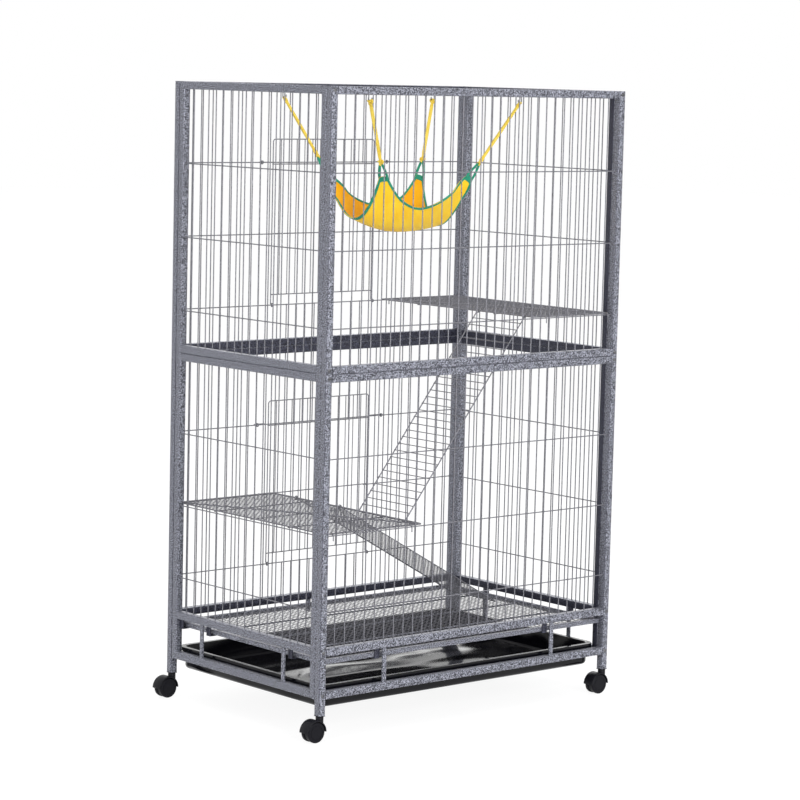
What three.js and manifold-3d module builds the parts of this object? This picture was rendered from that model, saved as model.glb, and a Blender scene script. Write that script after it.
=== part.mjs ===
// A two-storey ferret cage on casters: stacked storeys of square tube and wire, a bottom-hinged door in
// each storey, two shelves joined by ramps, a hanging hammock, a floor grille and a slide-out tray.
// Millimetres, +Z up. The doors face -Y, and the walls are laid out about the middle of the tube frame.
import * as THREE from 'three';
import { mergeVertices } from 'three/addons/utils/BufferGeometryUtils.js';
import Module from 'manifold-3d';

const wasm = await Module();
wasm.setup();

// Frame of square tube
const cageWidth = 800;
const cageDepth = 510;
const storeyHeight = 560;
const baseRailHeight = 170;
const lowerRailHeight = 84;
const casterHeight = 52;
const tube = 16;
const tubeWall = 1.2;
const spigotHeight = 20;
const gap = 0.3;
const weld = 0.6;

// Wires of the walls
const wire = 2.4;
const wirePitch = 25.6;
const sillGap = 72;
const doorwayWidth = 256;

// Base frames, with the runners of the tray and the clips of the floor grille
const sideStrutOffset = 136;
const backStrutOffset = 232;
const strutWidth = 14;
const strutDepth = 10;
const strutInset = 0.4;
const runnerWidth = 8;
const runnerThickness = 3;
const runnerDrop = 1;
const clipReach = 17;
const clipThickness = 2.4;
const clipLip = 2.5;
const clipOverhang = 9;

// Doors and catches
const doorWidth = 280;
const doorSill = 22;
const doorLap = 49;
const doorPitch = 21.5;
const doorBar = 2;
const doorStandoff = 4.8;
const doorStiffenerDrop = 4;
const catchOffset = 173.5;
const catchArmLength = 27.5;
const catchEyeWidth = 4;
const eyeSides = 8;

// Shelves and ramps
const shelfRod = 3.2;
const shelfMesh = 0.6;
const upperShelfLength = 223.5;
const lowerShelfLength = 252.5;
const shelfCrossRods = 3;
const hookInset = 12.6;
const rampLength = 515;
const rampWidth = 150;
const rungPitch = 34;
const upperRampOffset = 145;
const lowerRampOffset = 90;

// Floor grille and tray
const grilleBar = 8;
const grilleBarHeight = 10;
const grilleDrop = 8;
const grilleClearance = 1.2;
const grilleFrontInset = 8;
const grilleBackInset = 11;
const pullTabOffset = 24;
const pullTabWidth = 11;
const pullTabHeight = 27;
const trayDepth = 45;
const trayLip = 10;
const trayLipDrop = 7.7;
const trayWall = 2;
const trayFrontInset = 7;
const trayBackInset = 17;

// Roof and hammock
const roofRod = 4;
const roofCrossOffset = 80;
const hammockAnchorOffset = 205;
const hammockAnchorDepth = 138;
const hookHang = 18;
const hookRadius = 1.3;
const hookFootRadius = 4.5;
const hookTurnSteps = 4;
const hookSteps = 16;
const hookSides = 6;
const clothLength = 260;
const clothWidth = 172;
const clothFloor = 257;
const clothThickness = 2.4;
const clothEndRise = 23;
const clothSideRise = 53;
const clothCornerRise = 54;
const clothTensionRise = 6;
const clothTensionSpread = 0.35;
const clothEndPull = 0.14;
const clothSidePull = 0.25;
const clothTipCut = 14;
const clothColumns = 14;
const clothLines = 10;
const loopLength = 44;
const loopWidth = 20;
const loopBand = 3;
const loopSeam = 4;
const loopEase = 1;
const loopSegments = 6;
const strapWidth = 8;
const strapThickness = 2;
const knotRadius = 5;

// Casters
const wheelRadius = 21;
const wheelWidth = 8;
const webWidth = 8;
const casterTrail = 16;
const axleRadius = 3;
const stemRadius = 4;
const bossRadius = 8;
const bossHeight = 14;
const hoodWall = 2.5;
const flangeThickness = 1.2;
const plugHeight = 18;
const wheelClearance = 1;
const webInset = 2;
const wheelSides = 18;
const axleSides = 12;
const stemSides = 16;

// Places that follow from the sizes
const originShift = -casterTrail;
const halfWidth = cageWidth / 2;
const halfDepth = cageDepth / 2;
const postX = halfWidth - tube / 2;
const postY = halfDepth - tube / 2;
const innerX = halfWidth - tube;
const innerY = halfDepth - tube;
const longHalf = innerX - gap;
const shortHalf = innerY - gap;
const boreHalf = tube / 2 - tubeWall;
const storeyBase = { lower: baseRailHeight, upper: baseRailHeight + storeyHeight + gap };
const crossSpacing = (storeyHeight - 2 * tube - sillGap) / 3;
const crossHeights = [0, 1, 2].map((row) => storeyHeight - tube - (row + 1) * crossSpacing);
const crossStandoff = wire + gap;
const longGaps = 2 * Math.round(innerX / wirePitch);
const longPitch = 2 * innerX / longGaps;
const doorwayGaps = 2 * Math.round(doorwayWidth / 2 / longPitch);
const doorwayHalf = doorwayGaps / 2 * longPitch;
const doorwayEdge = doorwayHalf + wire / 2;
const roofHeight = storeyBase.upper + storeyHeight - tube / 2;
const grilleFront = halfDepth - grilleFrontInset;
const grilleBack = halfDepth - grilleBackInset;
const trayFront = halfDepth - trayFrontInset;
const trayBack = halfDepth - trayBackInset;

// Solids: each shape is a three.js geometry, joined and cut with manifold
function toSolid(geometry) {
  const bare = geometry.clone();
  bare.deleteAttribute('normal');
  bare.deleteAttribute('uv');
  const merged = mergeVertices(bare, 1e-4);
  return new wasm.Manifold(new wasm.Mesh({
    numProp: 3,
    vertProperties: new Float32Array(merged.getAttribute('position').array),
    triVerts: new Uint32Array(merged.getIndex().array),
  }));
}

function toGeometry(solid) {
  const mesh = solid.getMesh();
  const geometry = new THREE.BufferGeometry();
  geometry.setAttribute('position', new THREE.BufferAttribute(mesh.vertProperties, 3));
  geometry.setIndex(new THREE.BufferAttribute(mesh.triVerts, 1));
  geometry.computeVertexNormals();
  return geometry;
}

function join(...solids) {
  return wasm.Manifold.union(solids.flat());
}

function block(x0, x1, y0, y1, z0, z1) {
  const geometry = new THREE.BoxGeometry(x1 - x0, y1 - y0, z1 - z0);
  geometry.translate((x0 + x1) / 2, (y0 + y1) / 2, (z0 + z1) / 2);
  return toSolid(geometry);
}

function rodX(x0, x1, y, z, size = wire) {
  return block(x0, x1, y - size / 2, y + size / 2, z - size / 2, z + size / 2);
}

function rodY(y0, y1, x, z, size = wire) {
  return block(x - size / 2, x + size / 2, y0, y1, z - size / 2, z + size / 2);
}

function rodZ(z0, z1, x, y, size = wire) {
  return block(x - size / 2, x + size / 2, y - size / 2, y + size / 2, z0, z1);
}

// A cylinder along an axis, with a facet, not an edge, at its foot
function drum(axis, radius, from, to, sides) {
  const geometry = new THREE.CylinderGeometry(radius, radius, to - from, sides);
  geometry.rotateY(Math.PI / sides);
  geometry.translate(0, (from + to) / 2, 0);
  if (axis === 'x') geometry.rotateZ(-Math.PI / 2);
  if (axis === 'z') geometry.rotateX(Math.PI / 2);
  return toSolid(geometry);
}

// A plate of one outline, whose [across, up] points are those seen along the axis
function plate(axis, outline, from, to, hole = []) {
  const corner = ([across, up]) => new THREE.Vector2(across, up);
  const shape = new THREE.Shape(outline.map(corner));
  if (hole.length) shape.holes.push(new THREE.Path(hole.map(corner)));
  const geometry = new THREE.ExtrudeGeometry(shape, { depth: to - from, bevelEnabled: false });
  geometry.translate(0, 0, axis === 'y' ? -to : from);
  const right = new THREE.Vector3(1, 0, 0);
  const up = new THREE.Vector3(0, 1, 0);
  const back = new THREE.Vector3(0, 0, 1);
  const turn = new THREE.Matrix4();
  if (axis === 'x') geometry.applyMatrix4(turn.makeBasis(up, back, right));
  if (axis === 'y') geometry.applyMatrix4(turn.makeBasis(right, back, up.negate()));
  return toSolid(geometry);
}

function rectangle(x0, x1, y0, y1) {
  return [[x0, y0], [x1, y0], [x1, y1], [x0, y1]];
}

function ordered(a, b) {
  return [Math.min(a, b), Math.max(a, b)];
}

// A ring round a rod, wide enough to turn or slide on it
function eye(axis, rod, width) {
  const bore = (rod * Math.SQRT1_2 + gap) / Math.cos(Math.PI / eyeSides);
  const ring = drum(axis, bore + wire, -width / 2, width / 2, eyeSides);
  return { solid: ring.subtract(drum(axis, bore, -width, width, eyeSides)), outer: bore + wire };
}

function tubeAlong(points, radius, steps, sides) {
  const section = new THREE.Shape();
  for (let i = 0; i < sides; i += 1) {
    const angle = 2 * Math.PI * i / sides;
    const corner = [radius * Math.cos(angle), radius * Math.sin(angle)];
    if (i) section.lineTo(...corner);
    else section.moveTo(...corner);
  }
  const path = new THREE.CatmullRomCurve3(points);
  return toSolid(new THREE.ExtrudeGeometry(section, { steps, bevelEnabled: false, extrudePath: path }));
}

// Posts: the lower ones are the legs, and their spigots carry the upper ones
function legSolid() {
  const top = baseRailHeight + storeyHeight;
  const outside = block(-tube / 2, tube / 2, -tube / 2, tube / 2, casterHeight, top);
  const bore = block(-boreHalf, boreHalf, -boreHalf, boreHalf, casterHeight - tube, top - tubeWall);
  const spigotHalf = boreHalf - gap;
  const spigotFoot = top - tubeWall / 2;
  const spigot = block(-spigotHalf, spigotHalf, -spigotHalf, spigotHalf, spigotFoot, top + spigotHeight);
  return outside.subtract(bore).add(spigot);
}

function upperPostSolid() {
  const top = storeyBase.upper + storeyHeight;
  const outside = block(-tube / 2, tube / 2, -tube / 2, tube / 2, storeyBase.upper, top);
  const foot = storeyBase.upper - tube;
  return outside.subtract(block(-boreHalf, boreHalf, -boreHalf, boreHalf, foot, top - tubeWall));
}

// Wall panels are built facing -Y about their own middle, with the foot of the storey at zero
function rail(half, foot) {
  return block(-half, half, -tube / 2, tube / 2, foot, foot + tube);
}

function upright(x, from, to) {
  return rodZ(from, to, x, 0);
}

function cross(from, to, row) {
  return rodX(from, to, -crossStandoff, crossHeights[row]);
}

function nub(x, row) {
  const half = wire / 2 - weld / 2;
  const z = crossHeights[row];
  return block(x - half, x + half, -crossStandoff, 0, z - half, z + half);
}

const railTop = storeyHeight - tube;
const rows = [0, 1, 2];

function longPanel() {
  const solids = [rail(longHalf, 0), rail(longHalf, railTop)];
  for (let i = 1; i < longGaps; i += 1) {
    solids.push(upright(i * longPitch - innerX, tube - weld, railTop + weld));
  }
  for (const row of rows) {
    solids.push(cross(-longHalf, longHalf, row), nub(longPitch - innerX, row), nub(innerX - longPitch, row));
  }
  return join(solids);
}

function shortPanel() {
  const clear = shortHalf - tube;
  const gaps = 2 * Math.round(clear / wirePitch);
  const pitch = 2 * clear / gaps;
  const outline = rectangle(-shortHalf, shortHalf, 0, storeyHeight);
  const solids = [plate('y', outline, -tube / 2, tube / 2, rectangle(-clear, clear, tube, railTop))];
  for (let i = 1; i < gaps; i += 1) {
    solids.push(upright(i * pitch - clear, tube - weld, railTop + weld));
  }
  for (const row of rows) solids.push(cross(-clear - weld, clear + weld, row));
  return join(solids);
}

// The front wall: a header and a sill across the doorway, and the wires on its two sides
function doorwayWires(from, to, row) {
  const edge = doorwayEdge - wire - gap;
  const solids = [cross(-doorwayEdge + wire + gap, edge, row)];
  const first = longPitch - doorwayHalf;
  for (let i = 0; i < doorwayGaps - 1; i += 1) {
    solids.push(upright(first + i * longPitch, from, to));
  }
  return [...solids, nub(first, row), nub(-first, row)];
}

function frontHeader() {
  const foot = crossHeights[0] - wire / 2;
  return join(rail(longHalf, railTop), doorwayWires(foot, railTop + weld, 0));
}

function frontSill() {
  const top = crossHeights[2] + wire / 2;
  return join(rail(longHalf, 0), doorwayWires(tube - weld, top, 2));
}

function frontWires(side) {
  const solids = [];
  const last = Math.round((innerX - doorwayHalf) / longPitch);
  for (let i = 1; i <= last; i += 1) {
    const x = side * (innerX - i * longPitch);
    solids.push(upright(x, tube + gap, railTop - gap), nub(x, 1));
    if (i === 1 || i === last) solids.push(nub(x, 0), nub(x, 2));
  }
  const edges = ordered(side * longHalf, side * (doorwayEdge - wire));
  for (const row of rows) solids.push(cross(edges[0], edges[1], row));
  return join(solids);
}

// Base frames, built facing -Y with the floor at zero
const lowerRailTop = lowerRailHeight + tube;
const runnerTop = lowerRailTop - runnerDrop;
const grilleTop = baseRailHeight - grilleDrop;
const grilleFoot = grilleTop - grilleBarHeight;
const baseTop = baseRailHeight - gap;

function strut(x) {
  const foot = lowerRailTop - weld;
  const front = strutInset - tube / 2;
  return block(x - strutWidth / 2, x + strutWidth / 2, front, front + strutDepth, foot, baseTop);
}

// A clip screwed behind a strut's edge at start, running along +X or -X, whose lip carries the floor grille
function clip(start, side, root, reach) {
  const ends = ordered(start - side * root, start + side * clipReach);
  const foot = grilleFoot - gap - clipLip;
  const back = clipThickness + gap;
  const top = baseTop - gap;
  const lipTop = grilleFoot - gap;
  const outline = [[gap, foot], [reach, foot], [reach, lipTop], [back, lipTop], [back, top], [gap, top]];
  return plate('x', outline, ends[0], ends[1]);
}

function sideBaseFrame(clipSide) {
  const clear = shortHalf - tube;
  const reach = tube / 2 + clipOverhang;
  const outline = [
    [-shortHalf, lowerRailHeight], [shortHalf, lowerRailHeight], [shortHalf, baseTop], [clear, baseTop],
    [clear, lowerRailTop], [-clear, lowerRailTop], [-clear, baseTop], [-shortHalf, baseTop],
  ];
  const solids = [plate('y', outline, -tube / 2, tube / 2)];
  for (const side of [-1, 1]) {
    const strutEdge = side * sideStrutOffset + clipSide * strutWidth / 2;
    solids.push(strut(side * sideStrutOffset), clip(strutEdge, clipSide, strutWidth / 2, reach));
  }
  solids.push(clip(-clipSide * clear, clipSide, weld, reach));
  const runnerHalf = clear - gap;
  const runnerFoot = runnerTop - runnerThickness;
  solids.push(block(-runnerHalf, runnerHalf, tube / 2 - weld, tube / 2 + runnerWidth, runnerFoot, runnerTop));
  return join(solids);
}

function backBaseFrame() {
  const reach = postY - grilleBack + grilleBar - gap;
  const solids = [rail(longHalf, lowerRailHeight)];
  for (const side of [-1, 1]) {
    const strutEdge = side * backStrutOffset - strutWidth / 2;
    solids.push(strut(side * backStrutOffset), clip(strutEdge, -1, strutWidth / 2, reach));
  }
  return join(solids);
}

// Doors, built about their hinge line with the closed door standing up in front of it
const doorHeight = 2 * crossSpacing + doorLap;

function doorSolid() {
  const half = doorWidth / 2;
  const outer = half + wire / 2;
  const inner = half - wire / 2;
  const foot = doorSill - wire / 2;
  const top = doorHeight + wire / 2;
  const outline = [
    [-outer, 0], [-inner, 0], [-inner, foot], [inner, foot], [inner, 0], [outer, 0],
    [outer, top], [-outer, top],
  ];
  const hole = rectangle(-inner, inner, foot + wire, top - wire);
  const plane = -doorStandoff;
  const solids = [plate('y', outline, plane - wire / 2, plane + wire / 2, hole)];
  const weldHalf = wire / 2 - weld / 2;
  for (const height of stiffenerHeights()) {
    solids.push(rodX(-outer, outer, plane - crossStandoff, height));
    for (const x of [-half, half]) {
      solids.push(block(x - weldHalf, x + weldHalf, plane - crossStandoff, plane, height - weldHalf,
        height + weldHalf));
    }
  }
  for (const x of [-half, half]) solids.push(eye('x', wire, wire + weld).solid.translate(x, 0, 0));
  const gaps = Math.round(doorWidth / doorPitch);
  for (let i = 1; i < gaps; i += 1) {
    solids.push(rodZ(doorSill, doorHeight, i * doorWidth / gaps - half, plane, doorBar));
  }
  return join(solids);
}

function stiffenerHeights() {
  return [crossSpacing, 2 * crossSpacing - doorStiffenerDrop];
}

// A catch slides on the top wire of the doorway: side is +1 for the one on the right
function catchSolid(side) {
  const ring = eye('x', wire, catchEyeWidth);
  const front = -(doorStandoff + crossStandoff + gap + 2 * wire);
  const back = front + wire;
  const stem = weld - ring.outer;
  const outline = [
    [-side * catchArmLength, front], [side * wire / 2, front], [side * wire / 2, stem],
    [-side * wire / 2, stem], [-side * wire / 2, back], [-side * catchArmLength, back],
  ];
  return ring.solid.add(plate('z', outline, -wire / 2, wire / 2));
}

// Shelves, built from the hinge rod at zero towards -X, with hooks that lie over the cross wires
const shelfLift = wire + gap;
const shelfHalf = postY - wire / 2 - gap;

function shelfSolid(length) {
  const rodLine = shelfHalf - shelfRod / 2;
  const back = shelfRod - length;
  const edge = shelfRod / 2;
  const border = rectangle(back - edge, edge, -shelfHalf, shelfHalf);
  const hole = rectangle(back + edge, -edge, shelfRod - shelfHalf, shelfHalf - shelfRod);
  const solids = [plate('z', border, -edge, edge, hole)];
  for (const x of shelfHookPlaces(length)) solids.push(shelfHook(x, 1), shelfHook(x, -1));
  for (let i = 1; i <= shelfCrossRods; i += 1) {
    const y = (2 * i / (shelfCrossRods + 1) - 1) * rodLine;
    solids.push(rodX(back - weld, weld, y, shelfMesh - wire - gap));
  }
  const gaps = Math.round(-back / wirePitch);
  for (let i = 1; i < gaps; i += 1) {
    solids.push(rodY(-rodLine, rodLine, i * back / gaps, shelfMesh));
  }
  return join(solids);
}

function shelfHookPlaces(length) {
  const nearWall = shelfRod / 2 - length + hookInset;
  const nearHinge = nearWall + Math.floor((length - 2 * hookInset) / longPitch) * longPitch;
  return [nearWall, nearHinge];
}

// A rod from the shelf's border, out over the cross wire and down behind it
function shelfHook(x, side) {
  const inside = side * (shelfHalf - shelfRod / 2);
  const legInside = side * (postY + crossStandoff + wire / 2 + gap);
  const outside = legInside + side * wire;
  const half = wire / 2;
  const foot = -shelfLift - wire;
  const outline = [[inside, -half], [legInside, -half], [legInside, foot], [outside, foot], [outside, half],
    [inside, half]];
  return plate('x', outline, x - half, x + half);
}

// Ramps, built along +X from their hinge line, with their own middle at zero
function rampSolid() {
  const rodLine = (rampWidth - shelfRod) / 2;
  const ring = eye('y', shelfRod, shelfRod);
  const solids = [];
  for (const side of [-1, 1]) {
    solids.push(ring.solid.translate(0, side * rodLine, 0));
    solids.push(rodX(ring.outer - weld, rampLength, side * rodLine, 0, shelfRod));
  }
  for (let x = rampLength - wire; x > 2 * ring.outer; x -= rungPitch) {
    solids.push(rodY(-rodLine, rodLine, x, 0));
  }
  return join(solids);
}

// The slope at which a ramp's far end comes to rest on a surface
function rampSlope(hingeHeight, restHeight) {
  const drop = hingeHeight - restHeight - gap;
  const halfRod = shelfRod / 2;
  return Math.asin(drop / Math.hypot(rampLength, halfRod)) - Math.atan2(halfRod, rampLength);
}

// Floor grille and tray
function grilleSolid() {
  const half = innerX - gap - grilleClearance;
  const border = rectangle(-half, half, -grilleFront, grilleBack);
  const hole = rectangle(grilleBar - half, half - grilleBar, grilleBar - grilleFront, grilleBack - grilleBar);
  const solids = [plate('z', border, grilleFoot, grilleTop, hole), pullTab()];
  const meshHeight = grilleTop - wire / 2 - gap;
  const gaps = Math.round(2 * half / wirePitch);
  const ends = [grilleBar - grilleFront - weld, grilleBack - grilleBar + weld];
  for (let i = 1; i < gaps; i += 1) {
    solids.push(rodY(ends[0], ends[1], 2 * half * i / gaps - half, meshHeight));
  }
  const reach = half - grilleBar + weld;
  for (const part of [-1, 0, 1]) {
    const y = part * (grilleFront + grilleBack) / 4 + (grilleBack - grilleFront) / 2;
    solids.push(rodX(-reach, reach, y, meshHeight - wire - gap));
  }
  return join(solids);
}

function pullTab() {
  const half = pullTabWidth / 2;
  const foot = grilleTop + grilleDrop - tubeWall - gap - pullTabHeight;
  return block(pullTabOffset - half, pullTabOffset + half, -grilleFront - wire, weld - grilleFront, foot,
    foot + pullTabHeight);
}

function traySolid() {
  const lipX = innerX - 2 * gap;
  const wallX = lipX - trayLip;
  const lipFoot = runnerTop + gap;
  const rim = lipFoot + trayLipDrop;
  const foot = rim - trayDepth;
  const front = -trayFront;
  const pan = block(-wallX, wallX, front + trayLip, trayBack - trayLip, foot, rim - trayWall / 2);
  const lip = block(-lipX, lipX, front, trayBack, lipFoot, rim);
  const underLip = block(trayWall - lipX, lipX - trayWall, front + trayWall, trayBack - trayWall,
    lipFoot - trayWall, rim - trayWall);
  const hollow = block(trayWall - wallX, wallX - trayWall, front + trayLip + trayWall,
    trayBack - trayLip - trayWall, foot + trayWall, rim + trayWall);
  return lip.subtract(underLip).add(pan).subtract(hollow);
}

// Roof panel, which lies between the top rails
function roofSolid() {
  const halfX = innerX - 2 * gap;
  const halfY = innerY - 2 * gap;
  const lineX = halfX - roofRod / 2;
  const lineY = halfY - roofRod / 2;
  const border = rectangle(-halfX, halfX, -halfY, halfY);
  const hole = rectangle(roofRod - halfX, halfX - roofRod, roofRod - halfY, halfY - roofRod);
  const solids = [plate('z', border, -roofRod / 2, roofRod / 2, hole)];
  for (const side of [-1, 1]) {
    solids.push(rodX(-lineX, lineX, side * roofCrossOffset, weld - wire - gap));
  }
  for (let i = 1; i < longGaps; i += 1) {
    solids.push(rodY(-lineY, lineY, i * longPitch - innerX, weld));
  }
  return join(solids);
}

// Hammock: hooks on the roof wires, straps, and a cloth with a loop at each corner
const hookTopRadius = wire * Math.SQRT1_2 + gap + hookRadius;
const anchorX = Math.round(hammockAnchorOffset / longPitch) * longPitch;
const anchorHeight = roofHeight + weld;

function hookSolid(side) {
  const points = [];
  const turn = (radius, z, from, to) => {
    for (let i = 0; i <= hookTurnSteps; i += 1) {
      const angle = from + (to - from) * i / hookTurnSteps;
      points.push(new THREE.Vector3(side * radius * Math.cos(angle), 0, z + radius * Math.sin(angle)));
    }
  };
  turn(hookTopRadius, 0, -Math.PI / 6, Math.PI);
  turn(hookFootRadius, -hookHang, Math.PI, 2 * Math.PI + Math.PI / 6);
  return tubeAlong(points, hookRadius, hookSteps, hookSides);
}

function tipPoint(sideX, sideY) {
  const share = 1 - clothTipCut / clothLength;
  return new THREE.Vector3(...clothPoint(sideX * share, sideY * share, clothThickness / 2));
}

function strapFrame(sideX, sideY) {
  const tip = tipPoint(sideX, sideY);
  const foot = anchorHeight - storeyBase.upper - hookHang - hookFootRadius;
  const anchor = new THREE.Vector3(sideX * anchorX, sideY * hammockAnchorDepth, foot);
  const along = anchor.clone().sub(tip).normalize();
  const across = new THREE.Vector3(-along.y, along.x, 0).normalize();
  const normal = new THREE.Vector3().crossVectors(across, along);
  const turn = new THREE.Matrix4().makeBasis(across, normal.negate(), along);
  return { tip, anchor, along, turn };
}

// A solid built upright at the origin, turned along a strap and moved to a point
function onStrap(solid, frame, point) {
  const matrix = frame.turn.clone().setPosition(point);
  return solid.transform(matrix.elements);
}

function clothPoint(u, v, lift) {
  const x = clothLength / 2 * u * (1 - clothEndPull * (1 - v * v));
  const y = clothWidth / 2 * v * (1 - clothSidePull * (1 - u * u));
  const offDiagonal = (Math.abs(u) - Math.abs(v)) / clothTensionSpread;
  const tension = Math.abs(u * v) * Math.exp(-offDiagonal * offDiagonal);
  const rise = clothEndRise * u * u + clothSideRise * v * v + clothCornerRise * u * u * v * v;
  return [x, y, clothFloor + rise + clothTensionRise * tension + lift];
}

function clothSolid() {
  const columns = clothColumns;
  const lines = clothLines;
  const positions = [];
  const indices = [];
  const place = (side, i, j) => side * (columns + 1) * (lines + 1) + j * (columns + 1) + i;
  for (const lift of [clothThickness, 0]) {
    for (let j = 0; j <= lines; j += 1) {
      for (let i = 0; i <= columns; i += 1) {
        positions.push(...clothPoint(2 * i / columns - 1, 2 * j / lines - 1, lift));
      }
    }
  }
  const quad = (a, b, c, d) => indices.push(a, b, c, a, c, d);
  for (let j = 0; j < lines; j += 1) {
    for (let i = 0; i < columns; i += 1) {
      quad(place(0, i, j), place(0, i + 1, j), place(0, i + 1, j + 1), place(0, i, j + 1));
      quad(place(1, i, j), place(1, i, j + 1), place(1, i + 1, j + 1), place(1, i + 1, j));
    }
  }
  for (let i = 0; i < columns; i += 1) {
    quad(place(1, i, 0), place(1, i + 1, 0), place(0, i + 1, 0), place(0, i, 0));
    quad(place(0, i, lines), place(0, i + 1, lines), place(1, i + 1, lines), place(1, i, lines));
  }
  for (let j = 0; j < lines; j += 1) {
    quad(place(0, 0, j), place(0, 0, j + 1), place(1, 0, j + 1), place(1, 0, j));
    quad(place(1, columns, j), place(1, columns, j + 1), place(0, columns, j + 1), place(0, columns, j));
  }
  const geometry = new THREE.BufferGeometry();
  geometry.setAttribute('position', new THREE.Float32BufferAttribute(positions, 3));
  geometry.setIndex(indices);
  return toSolid(geometry);
}

function hammockSolid() {
  let cloth = clothSolid();
  const loops = [];
  for (const sideX of [-1, 1]) {
    for (const sideY of [-1, 1]) {
      const frame = strapFrame(sideX, sideY);
      const flat = new THREE.Vector3(frame.tip.x, frame.tip.y, 0);
      const outward = new THREE.Vector3(frame.along.x, frame.along.y, 0).normalize();
      cloth = cloth.trimByPlane(outward.clone().negate().toArray(), -flat.dot(outward));
      loops.push(onStrap(loopSolid(), frame, frame.tip));
    }
  }
  return join(cloth, loops);
}

// A flat loop standing on the tip of the cloth
function loopSolid() {
  const middle = loopLength / 2 - loopSeam;
  const shape = new THREE.Shape();
  shape.absellipse(0, middle, loopWidth / 2, loopLength / 2, 0, 2 * Math.PI);
  const hole = new THREE.Path();
  hole.absellipse(0, middle, loopWidth / 2 - loopBand, loopLength / 2 - loopBand, 0, 2 * Math.PI);
  shape.holes.push(hole);
  const options = { depth: loopBand, bevelEnabled: false, curveSegments: loopSegments };
  const geometry = new THREE.ExtrudeGeometry(shape, options);
  geometry.translate(0, 0, -loopBand / 2);
  geometry.rotateX(Math.PI / 2);
  return toSolid(geometry);
}

// A strap, built upright from the middle of its lower eye, with a knot above each eye's band
function strapSolid(frame) {
  const bottom = frame.tip.clone().addScaledVector(frame.along, loopLength - loopSeam - loopBand / 2);
  const length = bottom.distanceTo(frame.anchor);
  const lowerEye = eye('x', loopBand + loopEase, strapThickness);
  const upperEye = eye('x', 2 * hookRadius, strapThickness);
  const lowerKnot = lowerEye.outer + knotRadius - 2 * weld;
  const upperKnot = length - upperEye.outer - knotRadius / 2;
  const knot = toSolid(new THREE.IcosahedronGeometry(knotRadius, 0));
  const upright = join(
    lowerEye.solid,
    knot.translate(0, 0, lowerKnot),
    block(-strapWidth / 2, strapWidth / 2, -strapThickness / 2, strapThickness / 2, lowerKnot, upperKnot),
    knot.translate(0, 0, upperKnot),
  );
  const anchorEye = upperEye.solid.translate(frame.anchor.toArray());
  return onStrap(upright, frame, bottom).add(anchorEye);
}

// Casters, built about the line of their stem with the floor at zero
const axleHeight = wheelRadius * Math.cos(Math.PI / wheelSides);
const flangeTop = casterHeight - gap;
const bossTop = flangeTop - flangeThickness - gap;
const pinFoot = bossTop - bossHeight + wire + gap;

function casterStem() {
  const half = boreHalf - gap;
  return join(
    block(-half, half, -half, half, flangeTop - weld, casterHeight + plugHeight),
    block(-tube / 2, tube / 2, -tube / 2, tube / 2, flangeTop - flangeThickness, flangeTop),
    drum('z', stemRadius, pinFoot, flangeTop - weld, stemSides),
  );
}

function casterHousing() {
  const recessRadius = wheelRadius + wheelClearance;
  const hoodRadius = recessRadius + hoodWall;
  const webHalf = webWidth / 2 - gap;
  const overall = webWidth / 2 + wheelWidth + wheelClearance;
  const web = drum('y', wheelRadius - webInset, -webWidth, webWidth, wheelSides);
  const above = block(-2 * hoodRadius, 2 * hoodRadius, -2 * overall, 2 * overall, 0, 2 * hoodRadius);
  const hood = drum('y', hoodRadius, -overall, overall, wheelSides).intersect(above);
  const wheelSpace = [-1, 1].map((side) => {
    const ends = ordered(side * webHalf, side * 2 * overall);
    return drum('y', recessRadius, ends[0], ends[1], wheelSides);
  });
  const axleSpace = drum('y', axleRadius + gap, -overall, overall, axleSides);
  const wheelPlace = [casterTrail, 0, axleHeight];
  const boss = drum('z', bossRadius, bossTop - bossHeight, bossTop, stemSides);
  const stemSpace = drum('z', stemRadius + gap, pinFoot - gap, bossTop + gap, stemSides);
  return join(web, hood).translate(wheelPlace).add(boss)
    .subtract(join(wheelSpace, axleSpace).translate(wheelPlace)).subtract(stemSpace);
}

function wheelPair() {
  const inner = webWidth / 2;
  const outer = inner + wheelWidth;
  return join(
    drum('y', wheelRadius, -outer, -inner, wheelSides),
    drum('y', wheelRadius, inner, outer, wheelSides),
    drum('y', axleRadius, -inner - weld, inner + weld, axleSides),
  );
}

// Materials
function material(color, roughness, metalness) {
  return new THREE.MeshStandardMaterial({ color, roughness, metalness });
}

const hammeredCoat = material(0x85858f, 0.55, 0.5);
const wireCoat = material(0x5c5c66, 0.5, 0.6);
const blackPlastic = material(0x141416, 0.35, 0);
const clothMaterial = material(0xf5bd26, 0.9, 0);
const strapMaterial = material(0xefd458, 0.85, 0);
const zincPlate = material(0x6e6e74, 0.4, 0.8);

// The cage
const cage = new THREE.Group();
cage.position.x = originShift;

function place(name, solid, surface, x, y, z, turn = 0, tilt = 0) {
  const mesh = new THREE.Mesh(toGeometry(solid), surface);
  mesh.name = name;
  mesh.position.set(x, y, z);
  mesh.rotation.set(0, tilt, turn, 'ZYX');
  cage.add(mesh);
}

const corners = [
  ['front_left', -1, -1],
  ['front_right', 1, -1],
  ['back_left', -1, 1],
  ['back_right', 1, 1],
];

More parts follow.
